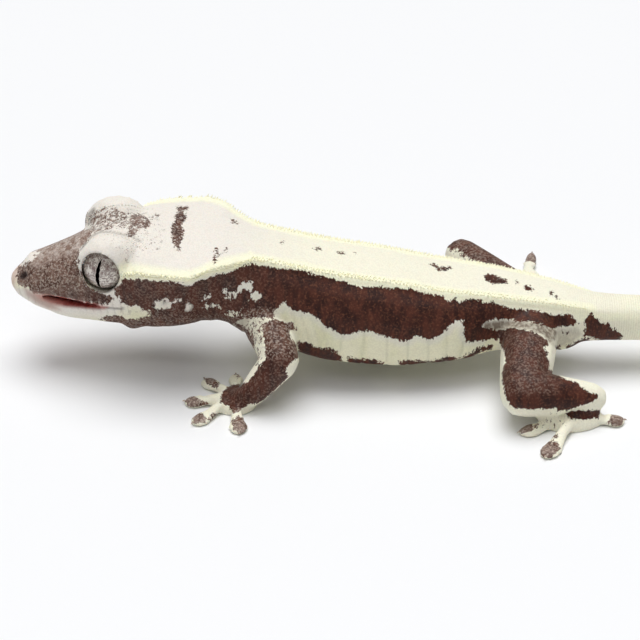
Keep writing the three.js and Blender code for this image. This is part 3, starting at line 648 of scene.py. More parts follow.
WHITE = {
    "eye_front": ([(77, 258), (80, 251), (85, 247), (86, 254), (83.5, 262), (83, 270), (80.5, 270),
        (78.5, 264)], 0.85),
    "jaw_patch": ([(111, 302), (115, 297), (119, 297), (122, 303), (128, 305), (134, 306), (140, 306.5),
        (146, 310), (151, 312), (148, 317), (140, 319), (128, 319), (118, 316), (110, 312)], 0.95),
    "behind_eye": ([(112, 286), (118, 280.5), (119.5, 282), (115.5, 287), (115, 292), (117.5, 298),
        (115, 301), (112.5, 299), (112, 292)], 0.85),
    "ear_patch": ([(154, 307), (156, 303), (158, 300), (162, 299), (168, 299.5), (174, 301), (182, 300),
        (176, 304), (170, 307), (165, 308), (158, 308.5)], 0.88),
    "neck_streak": ([(202, 301), (206, 294), (211, 293), (210, 298), (206, 303)], 0.7),
    "neck_fleck": ([(185, 310), (187, 302), (191, 302), (192, 307), (189, 311)], 0.4),
    "neck_low": ([(202, 308), (204, 302), (209, 303), (216, 304), (224, 305), (222, 309), (212, 308),
        (206, 310)], 0.58),
    "neck_pair": ([(221, 292), (224, 286), (229, 287), (228, 292), (224, 294)], 0.55),
    "neck_pink": ([(223, 299), (227, 292), (234, 290), (241, 291), (238, 297), (230, 300)], 0.66),
    "neck_band": ([(236, 292), (238, 285), (245, 281), (252, 282), (254, 288), (250, 292), (243, 290),
        (240, 294)], 0.78),
    "neck_drop": ([(248, 300), (252, 293), (258, 291), (262, 295), (260, 301), (254, 303)], 0.78),
    "shoulder_speck": ([(222, 313), (232, 309), (243, 308), (246, 314), (240, 319), (228, 318)], 0.45),
    "shoulder": ([(234, 322), (246, 319), (256, 317), (266, 318), (274, 319), (266, 323), (262, 325),
        (261, 329), (264, 334), (263, 342), (265, 349), (263, 356), (260, 366), (254, 372), (257, 356),
        (256, 345), (250, 333), (242, 326)], 0.52),
    "band_front": ([(276, 312), (284, 302), (289, 309), (290, 320), (282, 324), (276, 320)], 0.95),
    "jaw_front": ([(30, 296), (50, 300), (70, 304), (90, 307), (110, 309), (110, 316), (90, 320), (64, 315),
        (40, 308)], 0.85),
}
# Small marks of the back and crown, each on its own side
MARKS = {
    "nape_bar": ([(176, 206), (189, 206.5), (188, 210), (184, 211), (187, 216), (186, 220), (183, 222),
        (182, 226), (184.5, 231), (183, 237), (181, 242), (180, 247), (180.5, 252), (176, 249), (172.5, 243),
        (171.5, 236), (170.5, 229), (171.5, 224), (175, 221), (174.5, 216), (177.5, 211)], 0.9),
    "far_brow": ([(88, 224), (94, 212), (104, 205), (114, 206), (124, 212), (122, 222), (112, 229), (98, 232),
        (90, 234)], 0.6),
    "crown_left": ([(127, 233), (130, 218), (136, 213), (144, 215), (152, 221), (150, 228), (140, 229),
        (136, 236), (128, 238)], 0.78),
    "crown_middle": ([(116, 216), (128, 210), (136, 214), (130, 226), (120, 230), (114, 226)], 0.52),
    "crown_streak": ([(149, 218), (154, 213), (163, 214), (158, 218), (152, 220)], 0.5),
    "crown_dots": ([(128, 240), (140, 234), (152, 236), (158, 244), (146, 250), (132, 248)], 0.27),
    "crown_dust": ([(130, 212), (160, 216), (168, 236), (160, 252), (130, 254), (116, 240),
        (112, 226)], 0.22),
    "lid_dots": ([(96, 238), (128, 236), (140, 250), (138, 264), (122, 262), (112, 246)], 0.2),
    "ring_front": ([(212, 264), (213, 256), (216, 255), (217, 259), (215, 265)], 0.75),
    "ring_top": ([(213, 252), (215, 247), (220, 248), (218, 252), (223, 254), (219, 258), (215, 256)], 0.7),
    "ring_rear": ([(224, 252), (225, 246), (228, 247), (228, 251), (226, 254)], 0.7),
    "far_streak": ([(230, 220), (233, 219), (239, 223), (238, 225), (232, 223)], 0.8),
    "back_1": ([(280, 243), (282, 240), (285, 242), (283, 244)], 0.8),
    "back_2": ([(313, 248), (319, 247), (322, 250), (318, 251)], 0.9),
    "back_3": ([(336, 254), (338, 251), (345, 252), (345, 255), (340, 255)], 0.8),
    "back_4": ([(353, 251), (356, 252), (358, 255), (354, 254)], 0.5),
    "back_5": ([(410, 249), (415, 249), (416, 251), (411, 251)], 0.5),
    "back_6": ([(429, 264), (434, 263), (440, 267), (450, 266), (453, 268), (446, 271), (438, 272),
        (435, 268)], 0.9),
    "back_7": ([(484, 275), (490, 273), (497, 276), (507, 280), (508, 284), (498, 284), (492, 284),
        (485, 280)], 1.0),
    "back_8": ([(515, 280), (519, 280), (519, 284), (515, 284)], 0.8),
    "back_9": ([(524, 285), (530, 285), (534, 290), (529, 292), (524, 289)], 0.9),
    "back_10": ([(549, 291), (553, 291), (554, 296), (550, 296)], 0.8),
    "back_11": ([(555, 295), (559, 295), (560, 299), (556, 299)], 0.7),
}
LIMB_BROWN = {
    "fore_left": {
        "arm": ([(262, 326), (266, 322), (276, 319), (284, 321), (289, 330), (291, 338), (295, 343),
            (299, 347), (300, 354), (297, 358), (293, 361), (287, 367), (285, 371), (289, 376), (286, 380),
            (279, 389), (272, 397), (266, 401), (258, 404), (250, 404), (242, 408), (238, 412), (234, 413),
            (231, 410), (228, 406), (220, 402), (222, 393), (226, 388), (232, 385), (246, 383), (254, 375),
            (259, 366), (264, 362), (266, 358), (265, 352), (264, 340), (263, 332)], 1.0),
        "shoulder": ([(232, 318), (262, 316), (272, 326), (262, 346), (262, 360), (256, 368), (248, 352),
            (238, 336)], 0.36),
        "toe_a": ([(201, 377), (204, 373), (210, 374), (220, 384), (217, 389), (207, 384)], 0.97),
        "toe_b": ([(182, 399), (190, 393), (201, 400), (210, 405), (204, 409), (188, 406)], 0.97),
        "toe_c": ([(191, 416), (199, 411), (206, 417), (205, 424), (194, 423)], 0.97),
        "toe_c_root": ([(208, 419), (212, 412), (218, 414), (216, 419), (211, 422)], 0.75),
        "toe_d": ([(231, 420), (238, 416), (246, 418), (250, 426), (242, 436), (233, 430)], 0.97),
        "toe_e": ([(234, 376), (235, 370), (239, 371), (240, 377), (237, 379)], 0.7),
    },
    "hind_left": {
        "leg": ([(478, 330), (495, 330), (512, 327.5), (530, 330.5), (541, 336), (548, 341), (548, 345),
            (543, 348), (549, 353), (546, 356), (549, 360), (549, 369), (556, 374), (565, 379), (576, 382),
            (584, 389), (590, 393), (598, 394), (597, 398), (592, 402), (580, 406), (570, 410), (557, 411),
            (556, 407), (550, 409), (530, 409), (514, 408), (510, 405), (507, 399), (505, 393), (502, 380),
            (502, 373), (506, 361), (504, 352), (500, 344), (490, 339), (478, 339)], 1.0),
        "band_top": ([(478, 318), (500, 318), (520, 319), (540, 321), (550, 327), (545, 326), (530, 322),
            (500, 321), (482, 326)], 0.95),
        "tarsus": ([(566, 412), (580, 410.5), (600, 410), (599, 418), (585, 420), (570, 419)], 0.97),
        "foot_shade": ([(538, 418), (552, 412), (570, 414), (572, 424), (556, 430), (542, 430)], 0.22),
        "toe_left_dots": ([(532, 428), (536, 423), (540, 424), (536, 430)], 0.7),
        "toe_left": ([(515, 430), (520, 423), (532, 422), (533, 431), (522, 434)], 0.97),
        "toe_low_dot": ([(549, 438), (553, 433), (559, 434), (556, 440)], 0.8),
        "toe_low": ([(537, 452), (541, 441), (556, 441), (561, 448), (552, 458), (541, 457)], 0.97),
        "toe_right": ([(609, 421), (611, 414), (622, 411), (625, 418), (620, 430), (611, 434)], 0.97),
        "toe_right_dots": ([(606, 426), (608, 422), (611, 424), (609, 429)], 0.7),
    },
}
# Where the brown is dusted over with grey, and where the pale skin is grey
DUSTY = {
    "snout_top": ([(30, 264), (34, 255), (50, 243), (66, 235), (84, 228), (92, 232), (88, 242), (80, 252),
        (66, 256), (50, 261), (38, 268)], 0.85),
    "lip_front": ([(20, 284), (30, 284), (60, 291), (86, 297), (84, 302), (60, 298), (40, 294),
        (26, 289)], 0.2),
}
GREYED = {
    "hip_band": ([(484, 322), (500, 320.5), (520, 320.5), (540, 323), (552, 328), (558, 331), (556, 340),
        (549, 343), (543, 335), (530, 330.5), (512, 327.5), (495, 330), (483, 330)], 1.0),
    "groin": ([(552, 328), (566, 329), (576, 327), (582, 334), (572, 343), (556, 348), (550, 344)], 0.4),
    "shoulder": ([(232, 318), (262, 316), (272, 322), (262, 330), (262, 344), (256, 342), (246, 330)], 0.3),
}
# The darker brown under the eye
UNDER_EYE = [(84, 288), (92, 290), (104, 291), (113, 295), (114, 300), (106, 301), (96, 298), (88, 294)]
# The inside of the lower lip, its pink front, and the line at the corner of the mouth, which is darkened as
# painted shade
GUM = [
    (34, 294), (48, 296), (63, 298.5), (79, 301.5), (94, 304.5), (108, 307.3), (104, 309), (94, 308.6),
    (80, 307.6), (66, 306.8), (57, 305.4), (48, 302.4), (40, 298.6),
]
LIP_PINK = [
    (24, 288), (33, 292.5), (48, 295.5), (56, 298), (54, 304), (60, 310), (48, 309), (36, 303), (27, 295),
]
MOUTH_LINE = [(78, 302.5), (90, 305.5), (100, 307), (110, 308.3), (118, 308.6), (124, 308.2)]


def inside(where, outline):
    """How far each chart point lies inside a closed outline, in chart units, negative outside."""
    x, y = where[:, 0], where[:, 1]
    best = np.full(len(x), 1e9)
    within = np.zeros(len(x), bool)
    for (x0, y0), (x1, y1) in zip(outline, outline[1:] + outline[:1]):
        dx, dy = x1 - x0, y1 - y0
        share = np.clip(((x - x0) * dx + (y - y0) * dy) / max(dx * dx + dy * dy, 1e-9), 0, 1)
        best = np.minimum(best, (x - x0 - share * dx) ** 2 + (y - y0 - share * dy) ** 2)
        if y0 != y1:
            within ^= ((y0 > y) != (y1 > y)) & (x < dx * (y - y0) / dy + x0)
    return np.where(within, 1, -1) * np.sqrt(best)


def filled(where, outline, soft):
    """1 inside a closed outline and 0 outside it, over a border that is `soft` chart units wide."""
    return np.clip(0.5 + inside(where, outline) / soft, 0, 1)


def cover(where, outlines, soft=3.0):
    """The share of colour over the chart from a set of outlines, each with its own density."""
    return most(*(density * filled(where, outline, soft) for outline, density in outlines.values()))


spots = in_millimetres(coordinates(skin.data))
facing = normals(skin.data)
count = len(spots)
height = spots[:, 2]
near_side = spots[:, 1] < 0

# How far each point is from each region of the body, where that is near
FAR = 12.0
distance = {region: np.full(count, FAR) for region in REGIONS}
for index, vertex in enumerate(skin.data.vertices):
    for region, tree in region_trees.items():
        gap = tree.find_nearest(vertex.co, FAR / 1000)[3]
        if gap is not None:
            distance[region][index] = gap * 1000


def on(region, reach=1.0):
    """Which points lie on a region of the body."""
    return distance[region] < reach


def flat_gap(point):
    """How far each point lies from one point of the floor, seen from above."""
    return np.hypot(spots[:, 0] - point[0], spots[:, 1] - point[1])


# The spine's frame at each point: where it is along the spine, and which way is the animal's right
spine = np.array(SPINE, float)
stretch = np.arange(spine[0, 0], spine[-1, 0] + 0.5)
spine_line = np.stack([np.interp(stretch, spine[:, 0], spine[:, k]) for k in (1, 2, 3)], 1)
nearest = np.concatenate(
    [((block[:, None, :] - spine_line) ** 2).sum(2).argmin(1) for block in np.array_split(spots, 12)]
)
along, middle = stretch[nearest], spine_line[nearest]
tangent = np.gradient(spine_line, axis=0)
tangent = (tangent / np.linalg.norm(tangent, axis=1)[:, None])[nearest]
run = along + ((spots - middle) * tangent).sum(1)
across = np.cross(np.array([0, 0, 1.0]), tangent)
across /= np.linalg.norm(across, axis=1)[:, None]
roll = HEAD_ROLL * fade(along, 12, 34)
right = across * np.cos(roll)[:, None] + np.cross(tangent, across) * np.sin(roll)[:, None]
head_part = fade(along, 10, 16)[:, None]
right = right * (1 - head_part) + np.array(head_right) * head_part
anchor = middle * (1 - head_part) + np.array(HEAD_ORIGIN) * head_part
offside = ((spots - anchor) * right).sum(1)
folded = spots - 2 * np.maximum(offside, 0)[:, None] * right
along_head, _, rise_head = in_head(spots)

# Places on the chart: each point's own, and with the right side folded onto the left
own_chart = chart(spots)
side_chart = chart(folded)
own_x, own_y = own_chart.T
side_x, side_y = side_chart.T
edge_y = np.interp(side_x, *zip(*CREAM_EDGE))
above = own_y < np.interp(own_x, *zip(*CREAM_EDGE)) - 2
crown = above & (own_y < 262) & (own_x > 84)
neck_side = (side_x > 148) & (side_x < 268) & (side_y > 284)
to_body = np.minimum(distance["trunk"], np.minimum(distance["head"], distance["tail"]))
is_limb = most(*(ease(to_body - distance[region], -0.4, 0.8) for region in FEET))
is_body = 1 - is_limb

pads = on("hind_right") * fade(flat_gap(FAR_TOE), 4.0, 6.0) * (height < 3.2)
for region, (sole, toes) in FEET.items():
    for tip in toes:
        pads = most(pads, on(region) * fade(flat_gap(tip), 1.6, 3.4) * (height < 3))


def body_brown():
    """The share of brown on head, trunk and tail, less on the hidden side and underneath."""
    body = np.clip(cover(side_chart, BROWN, 4.4) - cover(side_chart, WHITE, 5.0), 0, 1)
    body = np.where(above, most(body, 0.88 * cover(own_chart, MARKS, 3.2)), body)
    turned = facing - 2 * ((offside > 0) * (facing * right).sum(1))[:, None] * right
    from_view = np.array((0, math.cos(VIEW_TILT), -math.sin(VIEW_TILT)))
    hidden = ease(turned @ from_view, 0.1, 0.45)
    under = ease(-facing[:, 2], 0.2, 0.6)
    return body * (1 - 0.85 * hidden * under * (distance["head"] > 0.5))


def limb_brown():
    """The share of brown on the limbs: the left ones as charted, the right ones by rule."""
    limb = np.zeros(count)
    trunk_brown = np.clip(cover(own_chart, BROWN) - cover(own_chart, WHITE, 5.0), 0, 1)
    for region, outlines in LIMB_BROWN.items():
        near = ease(distance["trunk"] - distance[region], -2.5, 0.5)
        root = fade(distance["trunk"], 3.0, 5.0) * trunk_brown
        limb = most(limb, on(region) * near * cover(own_chart, outlines), on(region) * root)
    top = 0.35 + 0.9 * facing[:, 2] + 0.75 * facing[:, 1] + 0.5 * facing[:, 0]
    rule = np.clip(0.5 + 1.6 * (top - 0.45), 0, 1) * ease(height, 2.4, 4.0)
    for region in ("fore_right", "hind_right"):
        limb = np.where(on(region) & (distance["trunk"] - distance[region] > -0.5), rule, limb)
    limb = most(limb, 0.95 * pads * (spots[:, 1] > 0))
    return limb * (1 - 0.9 * ease(-facing[:, 2], 0.3, 0.8))


def brown_tone():
    """Lightness of the brown, from the dark side to the greyish snout and toes."""
    front_thigh = ease(own_y, 326, 336) * fade(own_y, 388, 400) * fade(own_x, 546, 566)
    low_throat = ease(side_y, 306, 322) * (side_x < 240) * (side_x > 96)
    tone = most(
        pads,
        0.72 * fade(along_head, 0, 7) * on("head"),
        0.16 * fade(along, 14, 40) * (distance["tail"] > 3),
        0.14 * on("fore_left"),
        0.6 * fade(own_y, 350, 366) * on("fore_left") * (own_x > 240),
        0.22 * front_thigh * on("hind_left"),
        0.35 * on("hind_right") * (height > 9),
        0.3 * above * (along > 6) * (along < 60),
        0.45 * low_throat * is_body,
    )
    for region, (sole, toes) in FEET.items():
        tone = most(tone, 0.85 * on(region) * ease(flat_gap(sole), 3.6, 5.0) * fade(height, 2.2, 3.0))
    # Painted shade: the strip along the upper lip is made darker, as in the shade under the lip
    tone *= 1 - 0.6 * filled(side_chart, BROWN["lip"][0], 4)
    return tone * (1 - 0.75 * filled(side_chart, UNDER_EYE, 4) * on("head"))


def yellowness():
    """Yellowness of the pale skin: the crest and tail most, the crown least."""
    near_edge = fade(np.abs(side_y - edge_y + 6), 2, 9)
    yellow = most(0.9 * near_edge, 0.55 * ease(along, 22, 40), 0.75 * ease(along, 85, 100))
    yellow = most(yellow * (1 - 0.1 * is_limb), 0.6 * is_limb)
    crests = (fade(near_line(spots, route), 0.8, 2.8) for route in (CREST_LEFT, CREST_RIGHT))
    return most(yellow, *crests)


def lid_edge_shade(hand):
    """Painted shade in the groove along the edge of the lids, faint in front and below."""
    onward, rise, out, share = in_eye(spots, hand)
    fore_low = ease((onward - rise) / np.maximum(np.hypot(onward, rise), 0.1), 0.3, 1.3)
    close = (out > 0.6) * (np.sqrt(onward**2 + rise**2 + out**2) < 6)
    return np.where(rise > 0, 0.6, 0.9) * (1 - 0.95 * fore_low) * fade(share, 0.98, 1.14) * close


def painted_hollow_shade():
    """Painted shade in hollows: round the eyes, in the nostrils, at the mouth's corner and in the fold over
    the eye.
    """
    return most(
        lid_edge_shade(-1),
        lid_edge_shade(1),
        0.92 * fade(near_line(side_chart, NOSTRIL), 1.6, 4.6) * (along_head < -10),
        0.6 * fade(near_line(side_chart, MOUTH_LINE), 0.3, 1.5) * (along_head < 9) * on("head"),
        0.42 * fade(near_line(side_chart, LID_FOLD), 0.4, 1.8) * (along_head < 10) * on("head"),
    )


def limb_join_shade():
    """Painted shade where a limb grows out of the trunk."""
    at_trunk = fade(distance["trunk"], 0.0, 1.3)
    return most(*(at_trunk * fade(distance[region], 0.0, 1.3) for region in FEET))


# Painted shade along the folds of the flank, darker for the deeper folds
def painted_crease_shade():
    where = left_chart(spots)
    folds = (depth / DEEPEST_FOLD * fade(near_line(where, route), 0.2, 1.9) for route, depth in FOLDS)
    return most(*folds) * is_body * fade(distance["trunk"], 0.5, 1.5)


mouth_gap = np.abs(rise_head - lip_height(along_head))
level_lip = ease(np.abs(facing @ np.array(head_up)), 0.3, 0.8)
soft = most(fade(along_head, 14, 26) * on("head"), 0.8 * pads, 0.45 * neck_side * is_body)
dusty_head = most(cover(side_chart, DUSTY, 6.0), 0.12 * fade(along_head, -4, 0)) * on("head")
near_brown = fade(-inside(side_chart, BROWN["side"][0]), 2.0, 8.0)
snout_tip = np.linalg.norm(spots - np.array(head_point(-17.0, 0, -3.6)), axis=1)
STORED = {
    "brown": body_brown() * is_body + limb_brown() * is_limb,
    "tone": brown_tone(),
    "yellow": yellowness(),
    # Greyness of the pale skin: low on the sides and on the jaw
    "grey": 0.7 * ease(side_y - edge_y, 20, 40) * is_body * (along < 90),
    "wet": fade(mouth_gap, 0.25, 0.8) * level_lip * (along_head < MOUTH_CORNER + 0.4),
    # How gently the brown fades at its edges, and how much larger its flecks are there
    "gentle": np.minimum(soft + 0.1 * crown + 0.2 * neck_side, 1.1),
    "soft": soft * (1 - 0.85 * crown),
    "dusty": most(dusty_head, 0.42 * pads, 0.36 * crown * fade(along, 7, 13)),
    "dusk": cover(own_chart, GREYED) * near_side,
    "frost": near_brown * (side_y > edge_y + 12) * is_body * (along > 16),
    "gum": filled(side_chart, GUM, 3.4) * on("head", 1.5) * (along_head < 4),
    "pink": 0.7 * filled(side_chart, LIP_PINK, 5) * on("head", 1.5) * (along_head < -4),
    # Painted shade in the folds of the flank
    "crease_shade": painted_crease_shade(),
    "tip": 0.85 * fade(snout_tip, 1.5, 4.2),
    # Painted shade where the limbs meet the trunk
    "limb_join_shade": limb_join_shade(),
    "rings": run - spine[0, 0],
    "ringed": ease(along, 82, 96) * is_body * on("tail", 3),
    "lips": fade(mouth_gap, 1.3, 1.9) * (along_head < MOUTH_CORNER + 1.5) * on("head"),
    "lip_run": along_head + 20.0,
    # Painted shade in the hollows round the eyes, in the nostrils, at the mouth's corner and in the fold over
    # the eye
    "hollow_shade": painted_hollow_shade(),
}
for name, values in STORED.items():
    keep(skin.data, name, values)


def shade(r, g, b):
    """A colour from its 0-255 values."""
    return tuple(((c / 255 + 0.055) / 1.055) ** 2.4 if c > 10 else c / 255 / 12.92 for c in (r, g, b)) + (1,)


def skin_finish():
    """Scaly skin: brown where its share beats the flecks, and cream that yellows and greys, with painted
    shade in its folds, its hollows and where the limbs meet the trunk.
    """
    hide = Finish("gecko_skin")
    sums, cloud, ramp, stored, blend = hide.sums, hide.cloud, hide.ramp, hide.stored, hide.blend
    tone = stored("tone")
    fleck = sums("MULTIPLY", cloud(4000, (1, 1, 0.6), 3.0, 0.6), 0.4)
    fleck = ramp(sums("MULTIPLY_ADD", cloud(1900, (1, 1, 0.42), 4.0, 0.65), 0.6, fleck), 0.36, 0.64)
    broad = ramp(cloud(1100, (1, 1, 0.8)), 0.34, 0.66)
    fleck = sums("ADD", fleck, sums("MULTIPLY", sums("SUBTRACT", broad, fleck), stored("soft")))
    # The edges of the brown are crisp on the sides and soft on the snout
    beaten = sums("SUBTRACT", sums("MULTIPLY_ADD", stored("brown"), 1.3, -0.15), fleck)
    crisp = sums("MULTIPLY_ADD", stored("gentle"), -4.4, 6.8)
    brown = ramp(sums("MULTIPLY_ADD", beaten, crisp, 0.5), 0.0, 1.0)

    drift = ramp(cloud(640, (1, 0.7, 0.32), 4.0), 0.35, 0.65)
    speck = cloud(2500, (1, 1, 1), 2.0)
    blots = ramp(cloud(900, (1, 1, 0.8), 4.0, 0.65), 0.36, 0.62)
    dark = hide.layered(
        shade(46, 18, 12),
        (drift, shade(84, 42, 29)),
        (ramp(speck, 0.48, 0.72, 0, 0.62), shade(120, 74, 52)),
    )
    light = hide.layered(
        shade(62, 28, 18),
        (blots, shade(132, 98, 82)),
        (ramp(speck, 0.48, 0.6, 0, 0.85), shade(204, 190, 176)),
    )
    dust = blend(blots, shade(150, 124, 110), shade(208, 194, 184))
    brown_colour = hide.layered(dark, (tone, light), (stored("dusty"), dust))

    olive = sums("MULTIPLY", ramp(cloud(190, (1, 1, 0.5), 2.0), 0.46, 0.66, 0, 0.5), stored("grey"))
    worn = ramp(cloud(1500, (1, 1, 0.6)), 0.35, 0.6, 0.6, 1.0)
    # Rows of scales round the tail
    row = sums("SINE", sums("MULTIPLY", stored("rings"), 14.5))
    furrow = sums("MULTIPLY", ramp(row, 0.2, 0.95), stored("ringed"))
    pale = hide.layered(
        shade(242, 236, 226),
        (stored("yellow"), shade(255, 253, 224)),
        (stored("grey"), shade(244, 240, 206)),
        (olive, shade(220, 219, 168)),
        (ramp(cloud(900, (1, 1, 1), 4.0), 0.5, 0.75, 0, 0.08), shade(190, 170, 150)),
        (sums("MULTIPLY", stored("frost"), 0.65), shade(234, 231, 219)),
        # Painted shade in the folds of the flank
        (sums("MULTIPLY", stored("crease_shade"), 0.24), shade(168, 166, 136)),
        (sums("MULTIPLY", stored("dusk"), worn), shade(130, 118, 104)),
        (sums("MULTIPLY", furrow, 0.22), shade(200, 190, 150)),
        (stored("tip"), shade(222, 196, 180)),
        # Painted shade where the limbs meet the trunk
        (sums("MULTIPLY", stored("limb_join_shade"), 0.35), shade(170, 156, 136)),
    )

    # The plates of the lips, of uneven length, and the dark line between scales
    uneven = sums("MULTIPLY", cloud(700, (1, 1, 1), 1.0), 0.9)
    plate = sums("FRACT", sums("MULTIPLY_ADD", stored("lip_run"), 0.74, uneven))
    seam = ramp(sums("ABSOLUTE", sums("SUBTRACT", plate, 0.5)), 0.3, 0.5)
    seam = sums("MULTIPLY", seam, stored("lips"))
    scales = hide.cells(3300)
    lines = sums("MULTIPLY_ADD", sums("MULTIPLY", tone, brown), 0.34, 0.07)
    lines = sums("MULTIPLY", ramp(scales, 0.3, 0.7), lines)
    inner = ramp(stored("lip_run"), 7.0, 15.0)
    flesh = blend(inner, shade(206, 160, 148), blend(blots, shade(140, 62, 56), shade(170, 92, 84)))
    moist = blend(inner, shade(238, 196, 184), shade(190, 92, 84))
    colour = hide.layered(
        pale,
        (brown, brown_colour),
        (sums("MULTIPLY", seam, 0.17), shade(110, 92, 84)),
        (lines, shade(70, 48, 40)),
        # Painted shade in the hollows round the eyes, in the nostrils, at the mouth's corner and in the fold
        # over the eye
        (stored("hollow_shade"), shade(44, 28, 24)),
        (stored("pink"), shade(176, 138, 126)),
        (stored("gum"), flesh),
        (stored("wet"), moist),
    )
    hide.wire(colour, hide.shader.inputs["Base Color"])
    hide.wire(ramp(drift, 0.0, 1.0, 0.5, 0.66), hide.shader.inputs["Roughness"])
    hide.shader.inputs["Subsurface Weight"].default_value = 0.1
    hide.shader.inputs["Subsurface Radius"].default_value = (1.0, 0.55, 0.35)
    hide.shader.inputs["Subsurface Scale"].default_value = 0.0005
    hide.shader.inputs["Specular IOR Level"].default_value = 0.26
    relief = sums("SUBTRACT", sums("SUBTRACT", sums("SUBTRACT", 1.0, scales), furrow), seam)
    hide.bump(relief, 0.45, 0.00006)
    return hide.material


skin.data.materials.append(skin_finish())
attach(skin, "root")
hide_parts(*FLESH)

# Eyes
EYE_RINGS, IRIS_RINGS = 48, 22
SLIT_HALF, SLIT_WIDE, SLIT_BOW, SLIT_DROP = 3.1, 0.35, 0.42, 0.66
PUPIL_DEPTH = 0.5
IRIS_FLAT, IRIS_FLAT_REACH = 0.25, 3.4


def make_eye(side, name):
    """An eyeball whose first rings are drawn in to a slit pupil, with the iris in rings about the slit."""
    bpy.ops.object.select_all(action="DESELECT")
    bpy.ops.mesh.primitive_uv_sphere_add(segments=72, ring_count=EYE_RINGS, radius=EYE_RADIUS)
    eye = bpy.context.active_object
    eye.name = name
    ball = coordinates(eye.data)
    ring = np.arccos(np.clip(ball[:, 2] / EYE_RADIUS, -1, 1)) / math.pi * EYE_RINGS
    turn = np.arctan2(ball[:, 1], ball[:, 0])
    pole, front = ring < 0.5, ring <= IRIS_RINGS
    upward, onward = np.sin(turn), np.cos(turn)
    share = np.clip((ring - 1) / (IRIS_RINGS - 1), 0, 1)
    slit_y = np.where(pole, 0.0, SLIT_HALF * upward)
    slit_x = (SLIT_WIDE + 0.05 * np.cos(slit_y * 5.5)) * (1 - 0.5 * np.abs(upward) ** 6) * onward
    bow = SLIT_BOW * (1 - (slit_y / SLIT_HALF) ** 2)
    grown = share**0.9
    reach = EYE_RADIUS * 0.985 * grown
    x = (np.where(pole, 0.0, slit_x) + bow) * (1 - grown) + reach * onward
    y = (slit_y - SLIT_DROP) * (1 - grown) + reach * upward
    dome = np.sqrt(np.maximum(EYE_RADIUS**2 - x * x - y * y, 0))
    dome -= PUPIL_DEPTH * pole + IRIS_FLAT * np.clip(1 - np.hypot(x, y) / IRIS_FLAT_REACH, 0, 1)
    moved = np.where(front[:, None], np.stack([x, y, dome], 1), ball)
    centre, look, ahead, tall = eye_axes(side)
    placed = (moved @ np.array([ahead, tall, look])) / 1000.0 + np.array(centre)
    eye.data.vertices.foreach_set("co", placed.ravel())
    eye.data.update()
    settle(eye)
    keep(eye.data, "iris", np.where(front, share, 1.0))
    keep(eye.data, "pupil", pole)
    keep(eye.data, "turn_x", onward)
    keep(eye.data, "turn_y", upward)
    edit_whole(eye)
    bpy.ops.mesh.normals_make_consistent(inside=False)
    bpy.ops.object.mode_set(mode="OBJECT")
    bpy.ops.object.shade_smooth()
    return eye


def eye_finish():
    """A veined grey iris about a black slit, under a clear wet coat."""
    glass = Finish("gecko_eye")
    sums, ramp, stored = glass.sums, glass.ramp, glass.stored
    around = glass.nodes.new("ShaderNodeCombineXYZ")
    for name, pull, socket in (("turn_x", 4.4, 0), ("turn_y", 4.4, 1), ("iris", 5.2, 2)):
        glass.wire(sums("MULTIPLY", stored(name), pull), around.inputs[socket])
    vein_noise = glass.nodes.new("ShaderNodeTexNoise")
    vein_noise.inputs["Scale"].default_value = 1.1
    vein_noise.inputs["Detail"].default_value = 5
    vein_noise.inputs["Roughness"].default_value = 0.65
    vein_noise.inputs["Distortion"].default_value = 1.4
    glass.wire(around.outputs[0], vein_noise.inputs["Vector"])
    veins, share, pupil = vein_noise.outputs["Fac"], stored("iris"), stored("pupil")
    ridge = sums("ABSOLUTE", sums("SUBTRACT", veins, 0.5))
    # The dark rim is faint in front and below
    ahead_low = sums("SUBTRACT", stored("turn_x"), stored("turn_y"))
    rim = sums("MULTIPLY", ramp(share, 0.88, 0.98), ramp(ahead_low, 0.3, 1.3, 0.9, 0.3))
    colour = glass.layered(
        shade(122, 96, 90),
        (ramp(veins, 0.38, 0.6), shade(226, 218, 207)),
        (ramp(ridge, 0.0, 0.035, 0.55, 0.0), shade(72, 50, 46)),
        (ramp(share, 0.0, 0.07, 0.5, 0.0), shade(214, 204, 192)),
        (rim, shade(40, 28, 26)),
        (ramp(pupil, 0.001, 0.01), shade(3, 2, 2)),
    )
    clear = ramp(pupil, 0.001, 0.01, 1.0, 0.0)
    glass.wire(colour, glass.shader.inputs["Base Color"])
    glass.wire(clear, glass.shader.inputs["Coat Weight"])
    glass.wire(sums("MULTIPLY", clear, 0.5), glass.shader.inputs["Specular IOR Level"])
    glass.shader.inputs["Roughness"].default_value = 0.35
    glass.shader.inputs["Coat Roughness"].default_value = 0.03
    glass.bump(veins, 0.25, 0.0001)
    return glass.material


eye_glass = eye_finish()
for side, name in ((-1, "eye_left"), (1, "eye_right")):
    eye = make_eye(side, name + "_ball")
    eye.data.materials.append(eye_glass)
    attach(eye, "root")
    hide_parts(name)

# Spines, lid scales and claws
skin_tree = BVHTree.FromPolygons(
    [v.co.copy() for v in skin.data.vertices], [list(f.vertices) for f in skin.data.polygons]
)
ROOT_DEPTH = 0.0001
random = np.random.default_rng(11)


